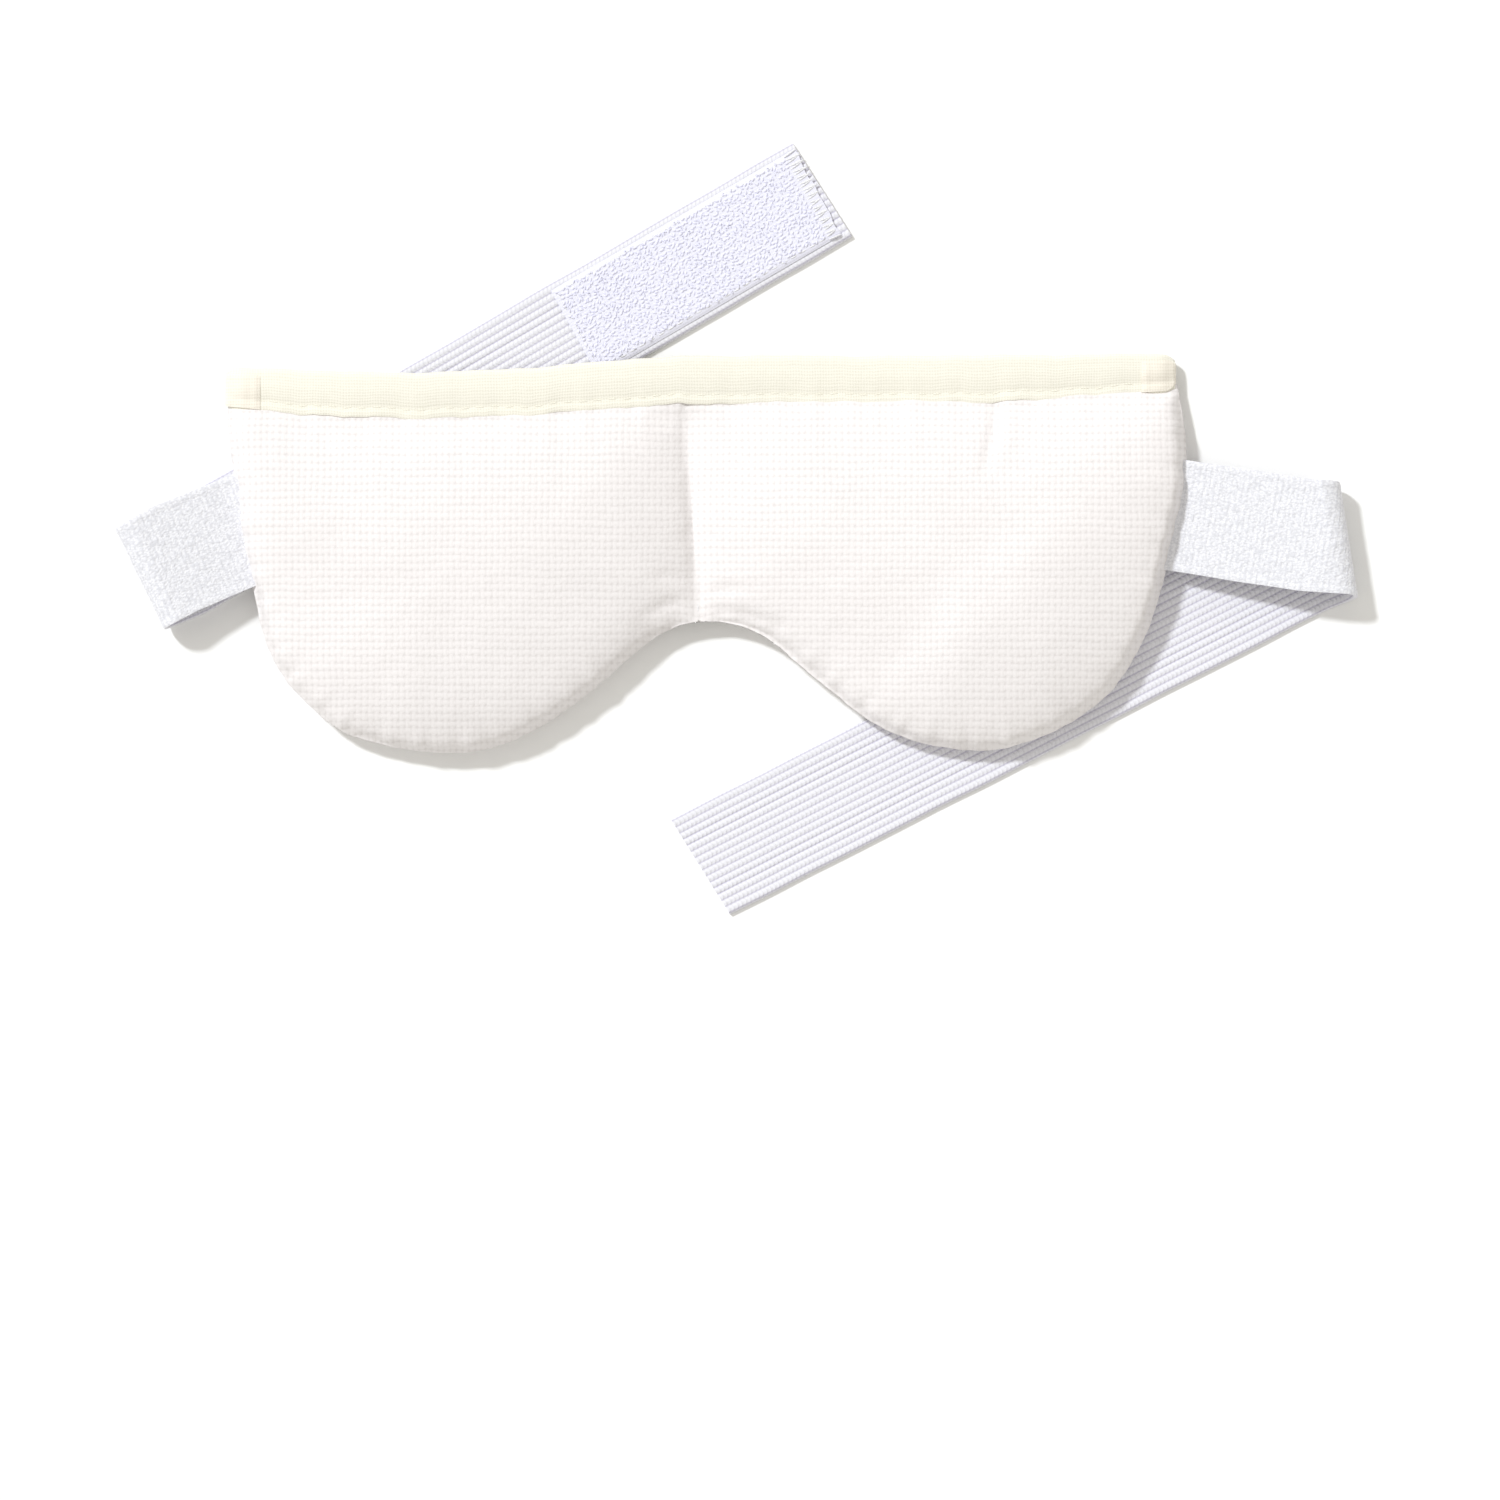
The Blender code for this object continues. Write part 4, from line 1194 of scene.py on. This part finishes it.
def build_overlock(strap):
    """The thick uneven stitches over the strap's cut end."""
    count = 28
    t = np.linspace(0, 1, 9)
    teeth = []
    for i in range(count):
        w = -HOOK_HALF + 0.5 + (2 * HOOK_HALF - 1.0) * i / (count - 1)
        reach = 2.0 + 0.9 * (0.5 + 0.5 * math.sin(2.4 * i)) + (0.8 if w < 0 else 0.0)
        lean = w + 0.35 * (1 if i % 2 else -1) * t
        teeth.append(strap.place(HOOK_STOP - 2.9 + reach * t, lean, HOOK_FACE - 0.14 * np.sin(math.pi * t)))
    radius = [0.10, 0.16, 0.18, 0.19, 0.19, 0.19, 0.18, 0.16, 0.1]
    return add_stitches("strap_end_stitches", teeth, radius, THREAD, ["strap_end_overlock"])


# ---------------------------------------------------------------- the binding


def binding_line(x):
    """The y of the tape's wavy fold and how far its wavy edge reaches below it, at each x."""
    fold = bound_edge(x) + 0.18 * wave(x, 24.0, 1.0) + 0.10 * wave(x, 9.0, 2.0)
    depth = binding_depth(x) + 0.30 * wave(x, 13.0, 4.0) + 0.12 * wave(x, 4.6, 5.0)
    return fold, depth


def flap_bow(share):
    """How far a flap bows out at this share of its depth."""
    return 0.30 * np.sin(math.pi * np.minimum(1.0, share / 0.8)) ** 2


def row_dent(inset):
    """How deep the row of stitches pulls the tape in, this far above its lower edge."""
    return 0.22 * np.exp(-((inset - STITCH_ROW) / 0.8) ** 2)


def binding_level(x, inset):
    """Height of the binding's front face at x, this far above its lower edge."""
    share = 1 - inset / binding_depth(x)
    lean = 0.20 * binding_pleat(x) * share
    return BINDING_INNER + BINDING_TAPE + flap_bow(share) - row_dent(inset) + lean


def binding_face(x, depth, offset):
    """Rows of places on one face of the folded tape, from the front flap's lower edge over the fold to the
    back flap's: how far each is below the fold and above the seam level. offset is this face's own level."""
    pleat = binding_pleat(x)
    open_edge = 0.05
    for place, reach, height in GAPES:
        open_edge = open_edge + height * np.exp(-((x - place) / reach) ** 2)
    from_end = np.minimum(x - x[0], x[-1] - x)
    pinch = 1 - 0.8 * np.exp(-(from_end / 2.2) ** 2)
    shares = np.concatenate([np.linspace(1.0, 0.66, 9), np.linspace(0.62, 0.14, 9)])
    flap = []
    for share in shares:
        below = share * depth
        flare = np.clip((share - 0.8) / 0.2, 0, 1) * open_edge * (1 + pleat) * 0.6
        lean = 0.20 * pleat * share
        thin = 0.42 * (offset - BINDING_INNER) * np.clip((share - 0.86) / 0.14, 0, 1) ** 2
        puff = (flap_bow(share) - row_dent(depth - below) + flare + lean) * pinch
        flap.append((below, offset - thin - BINDING_INNER * (1 - pinch) + puff))
    top = flap[-1][1]
    fold = []
    for angle in np.linspace(0, math.pi, 11)[1:-1]:
        fold.append((0.14 * depth * (1 - np.sin(angle)) - (offset - BINDING_INNER), top * math.cos(angle)))
    return flap + fold + [(below, -z) for below, z in reversed(flap)]


def build_binding():
    """The tape folded over the top edge of both lobes, gathered a little by its row of stitches."""
    left, right = SIDE_AND_BELLY["left"][0][0], TOP_EDGE["right"][-1][0]
    x = np.linspace(left, right, 331)
    edge, depth = binding_line(x)
    corner = np.clip(1 - (right - x) / 2.6, 0, 1) ** 2 + 0.6 * np.clip(1 - (x - left) / 1.6, 0, 1) ** 2
    edge, depth = edge - 1.3 * corner, depth - 2.3 * corner
    faces = []
    for offset in (BINDING_INNER + BINDING_TAPE, BINDING_INNER):
        rows = binding_face(x, depth, offset)
        places = [np.stack([x, edge - below, SEAM_LEVEL + z], axis=-1) for below, z in rows]
        faces.append(settle(np.stack(places, axis=1)))
    outer, inner = faces
    middle = outer[len(x) // 2]
    girth = np.concatenate([[0], np.cumsum(np.linalg.norm(np.diff(middle, axis=0), axis=1))])
    pattern = np.stack(np.meshgrid(x, girth, indexing="ij"), axis=-1)
    tape = shell("binding", outer, inner, pattern, [TAPE], sharp=60)
    (right - left) * MM
    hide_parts("left_top_binding", "right_top_binding")
    across_nose(tape)


def build_binding_ends():
    """The turned-over ends of the tape, which lie on the binding at the outer corners."""
    t, v = np.meshgrid(np.linspace(0, 1, 30), np.linspace(0, 1, 34), indexing="ij")
    for side in SIDES:
        corner = TOP_EDGE[side][-1][0]
        sign = 1.0 if side == "left" else -1.0
        x = corner + sign * (-0.25 + (BINDING_END + 0.25) * t)
        depth = binding_depth(x)
        y = bound_edge(x) - 0.45 - v * (depth - 0.75)
        if side == "right":
            round_off = np.clip(1 - t * BINDING_END / 2.6, 0, 1) ** 2
            y = np.where(v > 0.5, y + 1.6 * round_off * (v - 0.5) * 2, y - 1.0 * round_off * (0.5 - v) * 2)
        inset = np.clip(depth * (1 - v), 0.3, None)
        pinch = 0.8 * np.exp(-(np.abs(x - corner) / 2.2) ** 2)
        level = binding_level(x, inset) * (1 - pinch) + BINDING_TAPE * pinch
        edge = np.minimum(np.minimum(t, 1 - t) * BINDING_END, np.minimum(v, 1 - v) * depth)
        crown_up = 0.16 * np.clip(edge / 1.2, 0, 1) + 0.18 * np.clip((1 - t) * BINDING_END / 1.5, 0, 1)
        tuck = -0.6 * np.clip(1 - t * BINDING_END / 0.9, 0, 1) ** 2
        tuck -= 0.5 * np.clip(1 - v * depth / 1.1, 0, 1) ** 2
        wobble = (0.10 * wave(y, 5.0, 3.0) + 0.08 * wave(x, 4.0, 2.0)) * np.clip(edge, 0, 1)
        top = np.stack([x, y, SEAM_LEVEL + level + 0.12 + crown_up + tuck + wobble], axis=-1)
        bottom = np.stack([x, y, SEAM_LEVEL + level - 0.10 + tuck], axis=-1)
        top, bottom = settle(top), settle(bottom)
        piece = shell(f"{side}_turned_end", top, bottom, np.stack([x, y], axis=-1), [TAPE_END], sharp=60)
        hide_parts(f"{side}_binding_end")
        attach(piece, f"{side}_lobe")


def build_binding_stitches():
    """The lockstitch along the binding, in front and behind."""
    for name, face, thread in (("front", 1, "needle"), ("back", -1, "bobbin")):
        x = np.linspace(SIDE_AND_BELLY["left"][0][0] + 9, TOP_EDGE["right"][-1][0] - 9, 600)
        edge, depth = binding_line(x)
        y = edge - depth + STITCH_ROW
        z = SEAM_LEVEL + face * (binding_level(x, STITCH_ROW) - 0.02)
        path = settle(np.stack([x, y, z], axis=-1))
        lines = np.array(stitch_lines(path, *STITCH, 0.03 * face, 0.25 * face))
        radius = [0.06, 0.12, 0.15, 0.16, 0.15, 0.12, 0.06]
        nodes = [f"{side}_binding_{thread}_thread" for side in SIDES]
        across_nose(add_stitches(f"binding_stitches_{name}", lines, radius, CREAM_THREAD, nodes))


# ---------------------------------------------------------------- seams and filling


def build_seam_threads():
    """The stitches that close the nose seam and each lobe's side seam."""
    y = np.linspace(-HEM_DEPTH, NOSE_NOTCH[1] + 0.6, 200)
    path = np.array([(*nose_point(v), SEAM_LEVEL) for v in y])
    radius = [0.06, 0.10, 0.12, 0.13, 0.12, 0.10, 0.06]
    lines = stitch_lines(path, *STITCH, 0.05, 0.1)
    across_nose(add_stitches("nose_stitches", lines, radius, THREAD, ["nose_seam_thread"]))
    for side in SIDES:
        line = belly_line(side)
        inner = line + inward(side, line) * 1.9
        path = np.column_stack([inner, np.full(len(inner), SEAM_LEVEL)])[10:-6]
        lines = stitch_lines(resample(path, 400), *STITCH, 0.05, 0.1)
        radius = [0.08, 0.13, 0.15, 0.15, 0.15, 0.13, 0.08]
        row = add_stitches(f"{side}_seam_stitches", lines, radius, THREAD, [f"{side}_edge_thread"])
        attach(row, f"{side}_lobe")


def build_stuffing(side):
    """The inner pouch and the loose filling of one lobe, which lie inside the cover."""
    for name, share, inset, look, levels, lump, slot, nodes in (
        ("pouch", 0.84, 1.5, LINER, 1, 0.25, "liner_cloth", ("front_pouch", "back_pouch")),
        ("filling", 0.78, 2.6, SEEDS, 2, 0.5, "bead_fill", ("bead_fill",)),
    ):
        piece = shrunk_lobe(f"{side}_{name}", side, share, inset)
        subdivide(piece, levels)
        points = layout_points(piece.data)
        set_attribute(piece, "pattern", points)
        points[:, 2] -= lump * (0.5 + 0.5 * rough(points, 5.0, 8.0)) * np.sign(points[:, 2] - SEAM_LEVEL)
        move_points(piece.data, points)
        piece.data.materials.append(look)
        piece.data.shade_smooth()
        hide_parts(*[f"{side}_{node}" for node in nodes])
        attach(piece, f"{side}_lobe")


def shrunk_lobe(name, side, share, inset):
    """The lobe's own shape, narrowed to this share and this far inside its cover."""
    sheets, count = lobe_points(side)
    shape = bmesh.new()
    centre = np.array(LOBE_CENTRE[side])
    for points, turn in zip(sheets, (side == "left", side == "right")):
        points = points[count:]
        thin = np.clip(1 - inset / np.maximum(np.abs(points[:, 2] - SEAM_LEVEL), 1e-3), 0, 1)
        flat = centre + (points[:, :2] - centre) * share
        z = SEAM_LEVEL + (points[:, 2] - SEAM_LEVEL) * thin * 0.92
        z[:count] = SEAM_LEVEL
        z = np.maximum(z, strap_bed(points) + inset)
        add_sheet(shape, np.column_stack([flat, z]), count, turn)
    weld(shape)
    return shape_object(name, shape)


# ---------------------------------------------------------------- stage


def build_stage():
    """A plain white table, a key light from the upper left, an even surround and the camera overhead."""
    bpy.ops.mesh.primitive_grid_add(x_subdivisions=4, y_subdivisions=4, size=TABLE_SIZE, location=(0, 0, 0))
    table = bpy.context.object
    table.name = "table"
    paint = Graph("table_paint", 0.9)
    paint.shader.inputs["Base Color"].default_value = (*TABLE_COLOUR, 1.0)
    table.data.materials.append(paint.material)
    surround = bpy.data.worlds.new("surround")
    surround.use_nodes = True
    background = surround.node_tree.nodes["Background"]
    background.inputs["Color"].default_value = (*SURROUND_COLOUR, 1.0)
    background.inputs["Strength"].default_value = SURROUND_STRENGTH
    key = bpy.data.lights.new("key", "SUN")
    key.energy = KEY_STRENGTH
    key.angle = math.radians(KEY_SIZE)
    key.color = KEY_COLOUR
    lamp = add_object("key", key)
    lamp.rotation_euler = Vector(KEY_TRAVEL).to_track_quat("-Z", "Y").to_euler()
    lens = bpy.data.cameras.new("camera")
    lens.sensor_width = SENSOR
    lens.lens = SENSOR * CAMERA_HEIGHT / VIEW_WIDTH
    lens.clip_end = 20.0
    camera = add_object("camera", lens)
    camera.location = (*VIEW_CENTRE, CAMERA_HEIGHT)
    scene = bpy.context.scene
    scene.world = surround
    scene.camera = camera
    scene.view_settings.view_transform = "Standard"


def main():
    """The stage, then every piece."""
    build_stage()
    build_cover()
    for side in SIDES:
        build_stuffing(side)
        strap = build_strap(side)
        if side == "left":
            build_hook_patch(strap)
    build_binding()
    build_binding_ends()
    build_binding_stitches()
    build_seam_threads()


main()
